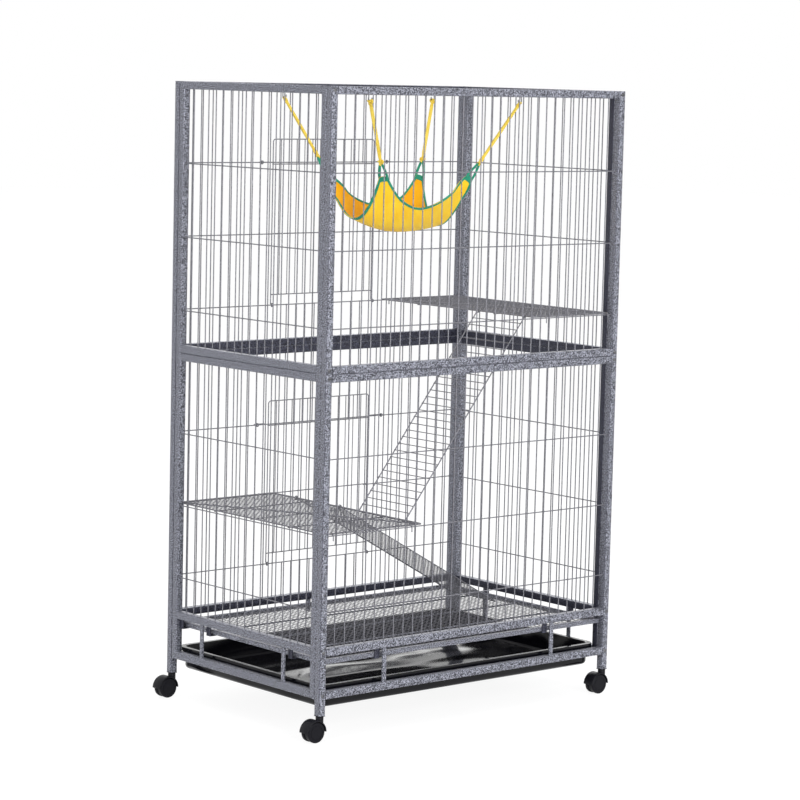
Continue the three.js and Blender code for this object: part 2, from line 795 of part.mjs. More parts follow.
for (const [corner, sideX, sideY] of corners) {
  const x = sideX * postX;
  const y = sideY * postY;
  place(`leg_${corner}`, legSolid(), hammeredCoat, x, y, 0);
  place(`upper_post_${corner}`, upperPostSolid(), hammeredCoat, x, y, 0);
  place(`caster_stem_${corner}`, casterStem(), zincPlate, x, y, 0);
  place(`caster_housing_${corner}`, casterHousing(), blackPlastic, x, y, 0);
  place(`caster_wheels_${corner}`, wheelPair(), blackPlastic, x + casterTrail, y, axleHeight);
  const frame = strapFrame(sideX, sideY);
  const hookPlace = [sideX * anchorX, sideY * hammockAnchorDepth, anchorHeight];
  place(`hammock_hook_${corner}`, hookSolid(-sideX), zincPlate, ...hookPlace);
  place(`hammock_strap_${corner}`, strapSolid(frame), strapMaterial, 0, 0, storeyBase.upper);
}

for (const storey of ['lower', 'upper']) {
  const foot = storeyBase[storey];
  const doorLine = -postY - crossStandoff;
  place(`${storey}_back_panel`, longPanel(), hammeredCoat, 0, postY, foot, Math.PI);
  place(`${storey}_left_panel`, shortPanel(), hammeredCoat, -postX, 0, foot, -Math.PI / 2);
  place(`${storey}_right_panel`, shortPanel(), hammeredCoat, postX, 0, foot, Math.PI / 2);
  place(`${storey}_front_header`, frontHeader(), hammeredCoat, 0, -postY, foot);
  place(`${storey}_front_sill`, frontSill(), hammeredCoat, 0, -postY, foot);
  place(`${storey}_front_wires_left`, frontWires(-1), wireCoat, 0, -postY, foot);
  place(`${storey}_front_wires_right`, frontWires(1), wireCoat, 0, -postY, foot);
  place(`${storey}_door`, doorSolid(), wireCoat, 0, doorLine, foot + crossHeights[2]);
  const catchHeight = foot + crossHeights[0];
  place(`${storey}_catch_left`, catchSolid(-1), wireCoat, -catchOffset, doorLine, catchHeight);
  place(`${storey}_catch_right`, catchSolid(1), wireCoat, catchOffset, doorLine, catchHeight);
}

place('left_base_frame', sideBaseFrame(-1), hammeredCoat, -postX, 0, 0, -Math.PI / 2);
place('right_base_frame', sideBaseFrame(1), hammeredCoat, postX, 0, 0, Math.PI / 2);
place('back_base_frame', backBaseFrame(), hammeredCoat, 0, postY, 0, Math.PI);
place('roof_panel', roofSolid(), wireCoat, 0, 0, roofHeight);
place('floor_grille', grilleSolid(), wireCoat, 0, 0, 0);
place('tray', traySolid(), blackPlastic, 0, 0, 0);
place('hammock', hammockSolid(), clothMaterial, 0, 0, storeyBase.upper);

// The upper shelf is on the left and the lower one on the right, each with its hinge rod toward the middle
const shelfOuter = longHalf - gap;
const upperHinge = { x: upperShelfLength - shelfOuter - shelfRod / 2, z: storeyBase.upper + crossHeights[2] };
const lowerHinge = { x: shelfOuter - lowerShelfLength + shelfRod / 2, z: storeyBase.lower + crossHeights[1] };
upperHinge.z += shelfLift;
lowerHinge.z += shelfLift;
place('upper_shelf', shelfSolid(upperShelfLength), wireCoat, upperHinge.x, 0, upperHinge.z);
place('lower_shelf', shelfSolid(lowerShelfLength), wireCoat, lowerHinge.x, 0, lowerHinge.z, Math.PI);

const upperSlope = rampSlope(upperHinge.z, lowerHinge.z + shelfRod / 2);
const lowerSlope = rampSlope(lowerHinge.z, grilleTop);
place('upper_ramp', rampSolid(), wireCoat, upperHinge.x, upperRampOffset, upperHinge.z, 0, upperSlope);
place('lower_ramp', rampSolid(), wireCoat, lowerHinge.x, -lowerRampOffset, lowerHinge.z, Math.PI, lowerSlope);

export default cage;
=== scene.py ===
# Two-storey ferret cage: the looks, built round the CAD frame.
# Metres, +Z up, doors facing -Y. Pieces are built about the middle of the tube frame, then moved.
import math

import bpy
from mathutils import Matrix, Vector


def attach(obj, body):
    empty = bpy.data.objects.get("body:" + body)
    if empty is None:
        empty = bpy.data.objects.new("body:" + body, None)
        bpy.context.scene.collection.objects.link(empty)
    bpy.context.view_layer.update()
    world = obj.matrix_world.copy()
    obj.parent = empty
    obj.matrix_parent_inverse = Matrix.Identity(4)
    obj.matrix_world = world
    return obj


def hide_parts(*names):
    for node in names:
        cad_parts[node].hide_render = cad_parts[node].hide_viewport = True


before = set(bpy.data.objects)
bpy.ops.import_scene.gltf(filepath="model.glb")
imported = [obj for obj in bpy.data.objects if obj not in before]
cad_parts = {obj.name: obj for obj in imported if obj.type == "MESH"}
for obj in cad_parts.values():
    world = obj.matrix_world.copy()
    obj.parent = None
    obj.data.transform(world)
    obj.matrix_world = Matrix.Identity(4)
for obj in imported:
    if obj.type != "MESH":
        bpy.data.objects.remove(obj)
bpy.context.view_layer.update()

# Camera
view = {"place": (3.8652, 4.4990, 1.3278), "turn": (83.3197, -1.3685, 139.2867), "lens": 127.59}
cameraData = bpy.data.cameras.new("camera")
cameraData.lens = view["lens"]
cameraData.sensor_width = 36
camera = bpy.data.objects.new("camera", cameraData)
camera.location = view["place"]
camera.rotation_euler = [math.radians(angle) for angle in view["turn"]]
bpy.context.scene.collection.objects.link(camera)
bpy.context.scene.camera = camera
bpy.context.scene.view_settings.view_transform = "Standard"
print("stage: camera set")


# Materials
def newMaterial(name, settings):
    mat = bpy.data.materials.new(name)
    mat.use_nodes = True
    shader = mat.node_tree.nodes["Principled BSDF"]
    for socket, value in settings.items():
        shader.inputs[socket].default_value = value
    return mat


def addNode(mat, kind, inputs, **settings):
    made = mat.node_tree.nodes.new("ShaderNode" + kind)
    for key, value in settings.items():
        setattr(made, key, value)
    for socket, value in inputs.items():
        if isinstance(value, bpy.types.NodeSocket):
            mat.node_tree.links.new(value, made.inputs[socket])
        else:
            made.inputs[socket].default_value = value
    return made


def intoShader(mat, socket, output):
    mat.node_tree.links.new(output, mat.node_tree.nodes["Principled BSDF"].inputs[socket])


def coordinates(mat, kind="Object", scale=(1, 1, 1)):
    source = addNode(mat, "TexCoord", {}).outputs[kind]
    return addNode(mat, "Mapping", {"Vector": source, "Scale": scale}).outputs["Vector"]


def noise(mat, place, scale, detail=2.0, roughness=0.5):
    settings = {"Vector": place, "Scale": scale, "Detail": detail, "Roughness": roughness}
    return addNode(mat, "TexNoise", settings).outputs["Fac"]


def colourStops(mat, factor, stops):
    ramp = addNode(mat, "ValToRGB", {"Fac": factor})
    elements = ramp.color_ramp.elements
    while len(elements) < len(stops):
        elements.new(0.5)
    for element, (place, colour) in zip(elements, stops):
        element.position = place
        element.color = (*colour, 1)
    return ramp.outputs["Color"]


def bump(mat, height, strength, distance):
    settings = {"Height": height, "Strength": strength, "Distance": distance}
    intoShader(mat, "Normal", addNode(mat, "Bump", settings).outputs["Normal"])


def arithmetic(mat, operation, first, second):
    return addNode(mat, "Math", {0: first, 1: second}, operation=operation).outputs[0]


coat = {
    "speckle": 500,  # flecks in each metre
    "dimple": 300,
    "dark": (0.008, 0.008, 0.014),
    "middle": (0.135, 0.14, 0.168),
    "light": (0.46, 0.475, 0.56),
    "wireDark": (0.045, 0.045, 0.055),
    "wireLight": (0.29, 0.29, 0.325),
    # shadeDark and shadeLight are painted shade: darker colours for faces that lie in shade
    "shadeDark": (0.006, 0.006, 0.012),
    "shadeLight": (0.10, 0.105, 0.155),
}


def makeHammered(name, stops, speckle):
    mat = newMaterial(name, {"Metallic": 0.35, "Roughness": 0.4})
    place = coordinates(mat)
    flecks = noise(mat, place, speckle, 3.0, 0.7)
    intoShader(mat, "Base Color", colourStops(mat, flecks, stops))
    dimples = addNode(mat, "TexVoronoi", {"Vector": place, "Scale": coat["dimple"]}, feature="SMOOTH_F1")
    bump(mat, dimples.outputs["Distance"], 0.45, 0.0008)
    rough = addNode(mat, "MapRange", {"Value": flecks, "To Min": 0.55, "To Max": 0.3})
    intoShader(mat, "Roughness", rough.outputs["Result"])
    return mat


tubeStops = [(0.42, coat["dark"]), (0.50, coat["middle"]), (0.6, coat["light"])]
wireStops = [(0.36, coat["wireDark"]), (0.62, coat["wireLight"])]
# Painted shade: shadeStops and shadedCoat make a darker copy of the hammered coat, put on faces that lie in
# shade
shadeStops = [(0.42, coat["shadeDark"]), (0.66, coat["shadeLight"])]
hammered = makeHammered("hammeredCoat", tubeStops, coat["speckle"])
wireCoat = makeHammered("wireCoat", wireStops, coat["speckle"] * 1.3)
shadedCoat = makeHammered("shadedCoat", shadeStops, coat["speckle"])


def makeTrayPlastic():
    mat = newMaterial("trayPlastic", {"Base Color": (0.003, 0.003, 0.005, 1), "Specular IOR Level": 0.2})
    waves = noise(mat, coordinates(mat, scale=(1, 2.2, 1)), 3.4, 1.0)
    grain = arithmetic(mat, "MULTIPLY", noise(mat, coordinates(mat), 500.0, 1.0), 0.002)
    bump(mat, arithmetic(mat, "ADD", waves, grain), 0.8, 0.035)
    scuffs = noise(mat, coordinates(mat, scale=(40, 4, 4)), 6.0, 4.0)
    rough = addNode(mat, "MapRange", {"Value": scuffs, "To Min": 0.06, "To Max": 0.13})
    intoShader(mat, "Roughness", rough.outputs["Result"])
    return mat


def makeCasterPlastic(name, colour, roughness):
    mat = newMaterial(name, {"Base Color": (*colour, 1), "Specular IOR Level": 0.16})
    place = coordinates(mat)
    bump(mat, noise(mat, place, 1400.0, 2.0), 0.2, 0.0003)
    worn = addNode(mat, "MapRange", {"Value": noise(mat, place, 60.0, 3.0), "To Min": roughness - 0.08,
                                     "To Max": roughness + 0.12})
    intoShader(mat, "Roughness", worn.outputs["Result"])
    return mat


def makePlatedSteel():
    mat = newMaterial("platedSteel", {"Metallic": 0.85, "Roughness": 0.35})
    place = coordinates(mat)
    tone = noise(mat, place, 180.0, 3.0)
    intoShader(mat, "Base Color", colourStops(mat, tone, [(0.3, (0.09, 0.09, 0.1)), (0.7, (0.24, 0.24, 0.25))]))
    bump(mat, noise(mat, place, 700.0, 2.0), 0.15, 0.0002)
    return mat


# threads: how many in each unit of the coordinates, across and along
def makeCloth(name, stops, threads, kind, sheen):
    mat = newMaterial(name, {"Roughness": 0.85, "Sheen Weight": sheen, "Specular IOR Level": 0.2})
    place = coordinates(mat, kind, (threads[0], threads[1], threads[1]))
    across = addNode(mat, "TexWave", {"Vector": place, "Scale": 0.314, "Distortion": 0.6}, bands_direction="X")
    along = addNode(mat, "TexWave", {"Vector": place, "Scale": 0.314, "Distortion": 0.6}, bands_direction="Y")
    weave = arithmetic(mat, "MULTIPLY", across.outputs["Fac"], along.outputs["Fac"])
    bump(mat, weave, 0.35, 0.0004)
    tone = noise(mat, coordinates(mat), 22.0, 4.0, 0.6)
    threadShare = arithmetic(mat, "MULTIPLY", weave, 0.25)
    shade = arithmetic(mat, "ADD", threadShare, arithmetic(mat, "MULTIPLY", tone, 0.75))
    intoShader(mat, "Base Color", colourStops(mat, shade, stops))
    return mat


trayPlastic = makeTrayPlastic()
wheelPlastic = makeCasterPlastic("wheelPlastic", (0.004, 0.004, 0.007), 0.4)
hoodPlastic = makeCasterPlastic("hoodPlastic", (0.007, 0.007, 0.010), 0.42)
platedSteel = makePlatedSteel()
outerStops = [(0.25, (0.96, 0.54, 0.012)), (0.75, (1.0, 0.72, 0.04))]
# The inside of the sling is coloured darker and more orange than the outside
innerStops = [(0.25, (0.88, 0.36, 0.004)), (0.75, (0.98, 0.54, 0.008))]
tapeStops = [(0.25, (0.012, 0.2, 0.115)), (0.75, (0.045, 0.38, 0.24))]
webbingStops = [(0.25, (0.76, 0.52, 0.045)), (0.75, (0.93, 0.76, 0.16))]
outerCloth = makeCloth("outerCloth", outerStops, (250, 210), "UV", 0.15)
innerCloth = makeCloth("innerCloth", innerStops, (250, 210), "UV", 0.1)
bindingTape = makeCloth("bindingTape", tapeStops, (1400, 1400), "Object", 0.1)
strapWebbing = makeCloth("strapWebbing", webbingStops, (1500, 900), "Object", 0.1)
print("stage: materials made")


# Modelling by hand
def clearSelection():
    if bpy.context.mode != "OBJECT":
        bpy.ops.object.mode_set(mode="OBJECT")
    bpy.ops.object.select_all(action="DESELECT")


def pick(*objects):
    clearSelection()
    for obj in objects:
        obj.select_set(True)
    bpy.context.view_layer.objects.active = objects[0]
    return objects[0]


def freeze(obj):
    pick(obj)
    bpy.ops.object.transform_apply(location=True, rotation=True, scale=True)
    return obj


# Edit mode, with the faces or edges that pass the test selected
def editPart(obj, kind, test):
    pick(obj)
    bpy.ops.object.mode_set(mode="EDIT")
    bpy.ops.mesh.select_mode(type=kind)
    bpy.ops.mesh.select_all(action="DESELECT")
    bpy.ops.object.mode_set(mode="OBJECT")
    for element in obj.data.polygons if kind == "FACE" else obj.data.edges:
        element.select = test(element)
    bpy.ops.object.mode_set(mode="EDIT")


def editAll(obj):
    pick(obj)
    bpy.ops.object.mode_set(mode="EDIT")
    bpy.ops.mesh.select_all(action="SELECT")


def extrude(step):
    bpy.ops.mesh.extrude_region_move(TRANSFORM_OT_translate={"value": step})


def pushFaces(distance):
    bpy.ops.mesh.extrude_region_shrink_fatten(TRANSFORM_OT_shrink_fatten={"value": distance})


def endEdit():
    bpy.ops.object.mode_set(mode="OBJECT")


def edgeRun(obj, edge):
    first, second = (obj.data.vertices[i].co for i in edge.vertices)
    return second - first


def modify(obj, kind, **settings):
    pick(obj)
    bpy.ops.object.modifier_add(type=kind)
    modifier = obj.modifiers[-1]
    for key, value in settings.items():
        setattr(modifier, key, value)
    bpy.ops.object.modifier_apply(modifier=modifier.name)
    return obj


def easeEdges(obj, width, angle=50):
    modify(obj, "BEVEL", width=width, segments=2, limit_method="ANGLE", angle_limit=math.radians(angle))


def repeat(obj, count, step):
    return modify(obj, "ARRAY", count=count, use_relative_offset=False, use_constant_offset=True,
                  constant_offset_displace=step)


def painted(obj, mat):
    obj.data.materials.clear()
    obj.data.materials.append(mat)
    return obj


def joined(parts):
    pick(*parts)
    if len(parts) > 1:
        bpy.ops.object.join()
    return bpy.context.object


def copied(obj):
    pick(obj)
    bpy.ops.object.duplicate()
    return bpy.context.object


middleX = -0.016  # the casters trail, so the tube frame stands off the middle of the whole


def moved(obj, x=0.0, y=0.0, z=0.0, turn=0.0, tilt=0.0):
    obj.location = (middleX + x, y, z)
    obj.rotation_euler = (0, tilt, turn)
    return freeze(obj)


def finished(obj, name, body, nodes, smooth=35):
    obj.name = name
    obj.data.name = name
    pick(obj)
    bpy.ops.object.shade_smooth_by_angle(angle=math.radians(smooth))
    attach(obj, body)
    if nodes:
        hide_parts(*nodes)
    return obj


def box(low, high):
    low, high = Vector(low), Vector(high)
    bpy.ops.mesh.primitive_cube_add(size=1, location=(low + high) / 2, scale=high - low)
    return freeze(bpy.context.object)


# A straight bar between two corners, with its long edges rounded
def solidBar(low, high, mat, rounding=0.0008, segments=2):
    bar = box(low, high)
    longest = max(Vector(high) - Vector(low)) * 0.99
    editPart(bar, "EDGE", lambda edge: edgeRun(bar, edge).length > longest)
    bpy.ops.mesh.bevel(offset=rounding, segments=segments)
    endEdit()
    return painted(bar, mat)


tube = {"side": 0.016, "wall": 0.0012, "rounding": 0.0020, "openDepth": 0.03}


def squareTube(low, high, openEnds=False):
    bar = solidBar(low, high, hammered, tube["rounding"], 3)
    if openEnds:
        editPart(bar, "FACE", lambda face: len(face.vertices) > 8)
        bpy.ops.mesh.inset(thickness=tube["wall"])
        pushFaces(-tube["openDepth"])
        endEdit()
    return bar


# Painted shade: these faces get the darker shadedCoat in place of the hammered coat, standing in for the shade
# they lie in
def shaded(bar, test):
    bar.data.materials.append(shadedCoat)
    for face in bar.data.polygons:
        if test(face.normal):
            face.material_index = 1
    return bar


# One wire with eased ends
def straightWire(start, end, diameter, mat=wireCoat, sides=8):
    start, end = Vector(start), Vector(end)
    run = end - start
    turn = run.to_track_quat("Z", "Y").to_euler()
    bpy.ops.mesh.primitive_cylinder_add(vertices=sides, radius=diameter / 2, depth=run.length,
                                        location=(start + end) / 2, rotation=turn)
    wire = freeze(bpy.context.object)
    editPart(wire, "FACE", lambda face: len(face.vertices) > 4)
    bpy.ops.mesh.bevel(offset=diameter * 0.2, segments=1)
    endEdit()
    return painted(wire, mat)


# A wire through the points, drawn by extruding one vertex, with its corners bent round
def bentWire(points, diameter, mat, bend=0.0, closed=False, resolution=2):
    bpy.ops.mesh.primitive_plane_add(size=0.001, location=points[0])
    wire = freeze(bpy.context.object)
    bpy.ops.object.mode_set(mode="EDIT")
    bpy.ops.mesh.select_mode(type="VERT")
    bpy.ops.mesh.merge(type="CENTER")
    for here, there in zip(points, points[1:]):
        step = Vector(there) - Vector(here)
        extrude(step)
    if closed:
        endEdit()
        wire.data.vertices[0].select = True
        wire.data.vertices[len(points) - 1].select = True
        bpy.ops.object.mode_set(mode="EDIT")
        bpy.ops.mesh.edge_face_add()
    bpy.ops.mesh.select_all(action="SELECT")
    if bend:
        bpy.ops.mesh.bevel(offset=bend, segments=4, affect="VERTICES")
    endEdit()
    bpy.ops.object.convert(target="CURVE")
    wire = bpy.context.object
    wire.data.bevel_depth = diameter / 2
    wire.data.bevel_resolution = resolution
    wire.data.use_fill_caps = not closed
    bpy.ops.object.convert(target="MESH")
    return painted(bpy.context.object, mat)


# Points on a turn, in degrees, that may climb along the third axis as it goes
def arc(centre, radius, start, end, steps, plane="XZ", rise=0.0):
    points = []
    for i in range(steps + 1):
        angle = math.radians(start + (end - start) * i / steps)
        across, up, along = radius * math.cos(angle), radius * math.sin(angle), rise * i / steps
        offset = {"XZ": (across, along, up), "YZ": (along, across, up), "XY": (across, up, along)}[plane]
        points.append(tuple(c + o for c, o in zip(centre, offset)))
    return points


# Posts
cage = {
    "postX": 0.392,
    "postY": 0.247,
    "innerX": 0.384,
    "innerY": 0.239,
    "gap": 0.0003,
    "storey": 0.560,
    "feet": {"lower": 0.170, "upper": 0.7303},
    "corners": {"front_left": (-1, -1), "front_right": (1, -1), "back_left": (-1, 1), "back_right": (1, 1)},
    "casterTop": 0.052,
    "roof": 1.2823,
}


def buildPosts():
    half = tube["side"] / 2
    lowerTop = cage["feet"]["lower"] + cage["storey"]
    upperTop = cage["feet"]["upper"] + cage["storey"]
    leg = squareTube((-half, -half, cage["casterTop"]), (half, half, lowerTop), True)
    post = squareTube((-half, -half, cage["feet"]["upper"]), (half, half, upperTop))
    # Painted dark reflection: the rounded corner strips of the posts get the darker shadedCoat
    for bar in (leg, post):
        shaded(bar, lambda normal: min(abs(normal.x), abs(normal.y)) > 0.5)
    for corner, (sideX, sideY) in cage["corners"].items():
        x, y = sideX * cage["postX"], sideY * cage["postY"]
        for kind, source in (("leg", leg), ("upper_post", post)):
            piece = moved(copied(source), x, y)
            finished(piece, f"{kind}_{corner}_tube", "cage", [f"{kind}_{corner}"])
    for source in (leg, post):
        bpy.data.objects.remove(source)


buildPosts()
print("stage: posts")

# Wire walls
wall = {
    "wire": 0.0024,
    "crossHeights": (0.392, 0.240, 0.088),
    "standoff": 0.0024,
    "longGaps": 30,
    "shortGaps": 18,
    "shortClear": 0.2227,
    "doorwayGaps": 10,
    "weldDepth": 0.0006,
}
longHalf = cage["innerX"] - cage["gap"]
shortHalf = cage["innerY"] - cage["gap"]
longPitch = 2 * cage["innerX"] / wall["longGaps"]
railTop = cage["storey"] - tube["side"]


def wallRail(half, foot):
    side = tube["side"]
    rail = squareTube((-half, -side / 2, foot), (half, side / 2, foot + side))
    # Painted shade: the rail faces on the inside of the cage get the darker shadedCoat
    return shaded(rail, lambda normal: normal.y > 0.9)


def wallStile(low, foot, top):
    side = tube["side"]
    stile = squareTube((low, -side / 2, foot), (low + side, side / 2, top))
    # Painted shade: only the stile at the low end (low < 0) gets the darker shadedCoat on its inner face
    return shaded(stile, lambda normal: normal.y > 0.9) if low < 0 else stile


def uprights(firstX, count, pitch, foot, top):
    weld = wall["weldDepth"]
    wire = straightWire((firstX, 0, foot - weld), (firstX, 0, top + weld), wall["wire"])
    return repeat(wire, count, (pitch, 0, 0)) if count > 1 else wire


def crossWire(fromX, toX, height):
    return straightWire((fromX, -wall["standoff"], height), (toX, -wall["standoff"], height), wall["wire"])


def buildBackPanel():
    parts = [wallRail(longHalf, 0), wallRail(longHalf, railTop)]
    parts.append(uprights(longPitch - cage["innerX"], wall["longGaps"] - 1, longPitch, tube["side"], railTop))
    parts += [crossWire(-longHalf, longHalf, height) for height in wall["crossHeights"]]
    return joined(parts)


def buildSidePanel():
    side, clear = tube["side"], wall["shortClear"]
    parts = [wallRail(clear, 0), wallRail(clear, railTop)]
    parts += [wallStile(low, 0, cage["storey"]) for low in (-shortHalf, clear)]
    pitch = 2 * clear / wall["shortGaps"]
    parts.append(uprights(pitch - clear, wall["shortGaps"] - 1, pitch, side, railTop))
    parts += [crossWire(-clear, clear, height) for height in wall["crossHeights"]]
    return joined(parts)


def buildFrontPanel():
    heights, wire = wall["crossHeights"], wall["wire"]
    doorway = wall["doorwayGaps"] / 2 * longPitch
    parts = [wallRail(longHalf, 0), wallRail(longHalf, railTop)]
    parts.append(uprights(longPitch - cage["innerX"], wall["doorwayGaps"], longPitch, tube["side"], railTop))
    parts.append(uprights(doorway, wall["doorwayGaps"], longPitch, tube["side"], railTop))
    short = wall["doorwayGaps"] - 1
    parts.append(uprights(longPitch - doorway, short, longPitch, heights[0] - wire / 2, railTop))
    parts.append(uprights(longPitch - doorway, short, longPitch, tube["side"], heights[2] + wire / 2))
    parts += [crossWire(-longHalf, longHalf, heights[0]), crossWire(-longHalf, longHalf, heights[2])]
    for ends in ((-longHalf, wire - doorway), (doorway - wire, longHalf)):
        parts.append(crossWire(*ends, heights[1]))
    return joined(parts)


def hangWalls():
    quarter = math.pi / 2
    layout = {
        "back_panel": (buildBackPanel(), 0, cage["postY"], 2 * quarter, ["back_panel"]),
        "left_panel": (buildSidePanel(), -cage["postX"], 0, -quarter, ["left_panel"]),
        "right_panel": (buildSidePanel(), cage["postX"], 0, quarter, ["right_panel"]),
        "front_panel": (buildFrontPanel(), 0, -cage["postY"], 0,
                        ["front_header", "front_sill", "front_wires_left", "front_wires_right"]),
    }
    for name, (source, x, y, turn, nodes) in layout.items():
        for storey, foot in cage["feet"].items():
            piece = moved(copied(source), x, y, foot, turn)
            finished(piece, f"{storey}_{name}_wires", "cage", [f"{storey}_{n}" for n in nodes])
        bpy.data.objects.remove(source)


hangWalls()
print("stage: walls")

# Base frames, with the tray's runners and the clips of the floor grille
base = {
    "railFoot": 0.084,
    "top": 0.1697,
    "strutWidth": 0.010,
    "strutDepth": 0.004,
    "clipStart": 0.007,
    "strutInset": 0.0004,
    "sideStruts": 0.136,
    "backStruts": 0.232,
    "runnerDepth": 0.008,
    "runnerTop": 0.099,
    "runnerThickness": 0.003,
    "clipLipFoot": 0.1492,
    "clipLip": 0.0025,
    "clipSheet": 0.0024,
    "clipWidth": 0.013,
    "clipEasing": 0.0004,
    "backReach": 0.0197,
    "grilleOverlap": 0.009,
}


def strutBar(x):
    front = base["strutInset"] - tube["side"] / 2
    low = (x - base["strutWidth"] / 2, front, base["railFoot"] + tube["side"] - wall["weldDepth"])
    high = (x + base["strutWidth"] / 2, front + base["strutDepth"], base["top"])
    return solidBar(low, high, hammered, 0.0010, 2)


# A bent sheet clip: a back plate whose foot is drawn out into a lip
def grilleClip(start, side, reach):
    ends = sorted((start, start + side * base["clipWidth"]))
    near, back = cage["gap"], cage["gap"] + base["clipSheet"]
    clip = box((ends[0], near, base["clipLipFoot"]), (ends[1], back, base["top"] - cage["gap"]))
    editAll(clip)
    lipTop = base["clipLipFoot"] + base["clipLip"]
    bpy.ops.mesh.bisect(plane_co=(0, 0, lipTop), plane_no=(0, 0, 1))
    endEdit()
    editPart(clip, "FACE", lambda face: face.normal.y > 0.9 and face.center.z < lipTop)
    extrude((0, reach - back, 0))
    endEdit()
    modify(clip, "BEVEL", width=base["clipEasing"], segments=2)
    # Painted shade: the clips are made in the darker shadedCoat, standing in for the shade they sit in under
    # the base rail
    return painted(clip, shadedCoat)


def buildSideBase(clipSide):
    side, clear = tube["side"], wall["shortClear"]
    parts = [wallRail(clear, base["railFoot"])]
    parts += [wallStile(low, base["railFoot"], base["top"]) for low in (-shortHalf, clear)]
    reach = side / 2 + base["grilleOverlap"]
    for sign in (-1, 1):
        x = sign * base["sideStruts"]
        parts += [strutBar(x), grilleClip(x + clipSide * base["clipStart"], clipSide, reach)]
    parts.append(grilleClip(-clipSide * clear, clipSide, reach))
    high = (clear - cage["gap"], side / 2 + base["runnerDepth"], base["runnerTop"])
    low = (-high[0], side / 2 - wall["weldDepth"], base["runnerTop"] - base["runnerThickness"])
    parts.append(solidBar(low, high, hammered, 0.0006))
    return joined(parts)


def buildBackBase():
    parts = [wallRail(longHalf, base["railFoot"])]
    for sign in (-1, 1):
        x = sign * base["backStruts"]
        parts += [strutBar(x), grilleClip(x - base["clipStart"], -1, base["backReach"])]
    return joined(parts)


def standBases():
    quarter = math.pi / 2
    for name, source, x, y, turn in (
        ("left", buildSideBase(-1), -cage["postX"], 0, -quarter),
        ("right", buildSideBase(1), cage["postX"], 0, quarter),
        ("back", buildBackBase(), 0, cage["postY"], 2 * quarter),
    ):
        piece = moved(source, x, y, 0, turn)
        finished(piece, f"{name}_base_tubes", "cage", [f"{name}_base_frame"])


standBases()

# Screws that hold the panels to the posts
screw = {
    "radius": 0.0038,
    "height": 0.0022,
    "rounding": 0.0012,
    "recess": 0.0017,
    "recessDepth": 0.0012,
    "heights": (1.2823, 0.7383, 0.722, 0.178, 0.092),
}


def buildScrew():
    height = screw["height"]
    bpy.ops.mesh.primitive_cylinder_add(vertices=24, radius=screw["radius"], depth=height,
                                        location=(0, height / 2, 0), rotation=(-math.pi / 2, 0, 0))
    head = freeze(bpy.context.object)
    editPart(head, "FACE", lambda face: face.normal.y > 0.9)
    bpy.ops.mesh.bevel(offset=screw["rounding"], segments=4)
    endEdit()
    editPart(head, "FACE", lambda face: face.normal.y > 0.99 and face.center.y > height * 0.99)
    bpy.ops.mesh.inset(thickness=screw["radius"] - screw["rounding"] - screw["recess"])
    extrude((0, -screw["recessDepth"], 0))
    endEdit()
    return painted(head, platedSteel)


def driveScrews():
    source = buildScrew()
    screws = []
    for sideX, sideY in cage["corners"].values():
        for height in screw["heights"]:
            y = sideY * (cage["postY"] + tube["side"] / 2)
            screws.append(moved(copied(source), sideX * cage["postX"], y, height, 0 if sideY > 0 else math.pi))
    bpy.data.objects.remove(source)
    finished(joined(screws), "frame_screws", "cage", [])


driveScrews()
print("stage: base frames and screws")

# Doors and catches
door = {
    "half": 0.140,
    "foot": 0.002,
    "sill": 0.022,
    "top": 0.353,
    "standoff": 0.0048,
    "bars": 13,
    "bar": 0.0020,
    "stiffeners": (0.152, 0.300),
    "stiffenerStandoff": 0.0024,
    "eyeRadius": 0.0032,
    "eyeWidth": 0.0032,
    "corner": 0.006,
    "hingeY": -0.2497,
    "hingeRow": 2,
}
catch = {
    "x": 0.1735,
    "row": 0,
    "coilRadius": 0.0033,
    "coilHalf": 0.0014,
    "armFront": -0.0111,
    "armLength": 0.0275,
    "bend": 0.0022,
}


# One and a half turns of wire round the rod at the origin
def hingeEye(x, side, radius, width, diameter):
    start = (x - side * width / 2, 0, 0)
    return bentWire(arc(start, radius, 90, 90 - 540, 24, "YZ", side * width), diameter, wireCoat)


def buildDoor():
    half, plane, wire = door["half"], -door["standoff"], wall["wire"]
    foot, top = door["foot"], door["top"]
    outline = [(-half, plane, foot), (-half, plane, top), (half, plane, top), (half, plane, foot)]
    parts = [bentWire(outline, wire, wireCoat, door["corner"])]
    parts.append(straightWire((-half, plane, door["sill"]), (half, plane, door["sill"]), wire))
    for height in door["stiffeners"]:
        y = plane - door["stiffenerStandoff"]
        parts.append(straightWire((-half, y, height), (half, y, height), wire))
    pitch = 2 * half / door["bars"]
    bar = straightWire((pitch - half, plane, door["sill"]), (pitch - half, plane, top), door["bar"])
    parts.append(repeat(bar, door["bars"] - 1, (pitch, 0, 0)))
    for side in (-1, 1):
        parts.append(hingeEye(side * half, side, door["eyeRadius"], door["eyeWidth"], wire))
    return joined(parts)


def buildCatch(side):
    wire, front, half = wall["wire"], catch["armFront"], catch["coilHalf"]
    coil = arc((-side * half, 0, 0), catch["coilRadius"], 120, 120 - 480, 20, "YZ", side * 2 * half)
    arm = [coil[-1], (side * half, -0.0058, 0.0002), (side * 0.0010, front, 0),
           (-side * catch["armLength"], front, 0)]
    return joined([bentWire(coil, wire * 0.95, wireCoat), bentWire(arm, wire, wireCoat, catch["bend"])])


def hangDoors():
    for storey, foot in cage["feet"].items():
        piece = moved(buildDoor(), 0, door["hingeY"], foot + wall["crossHeights"][door["hingeRow"]])
        finished(piece, f"{storey}_door_wires", f"{storey}_door", [f"{storey}_door"])
        for name, side in (("left", -1), ("right", 1)):
            height = foot + wall["crossHeights"][catch["row"]]
            piece = moved(buildCatch(side), side * catch["x"], door["hingeY"], height)
            body = f"{storey}_catch_{name}"
            finished(piece, f"{body}_wire", body, [body])


hangDoors()
print("stage: doors and catches")

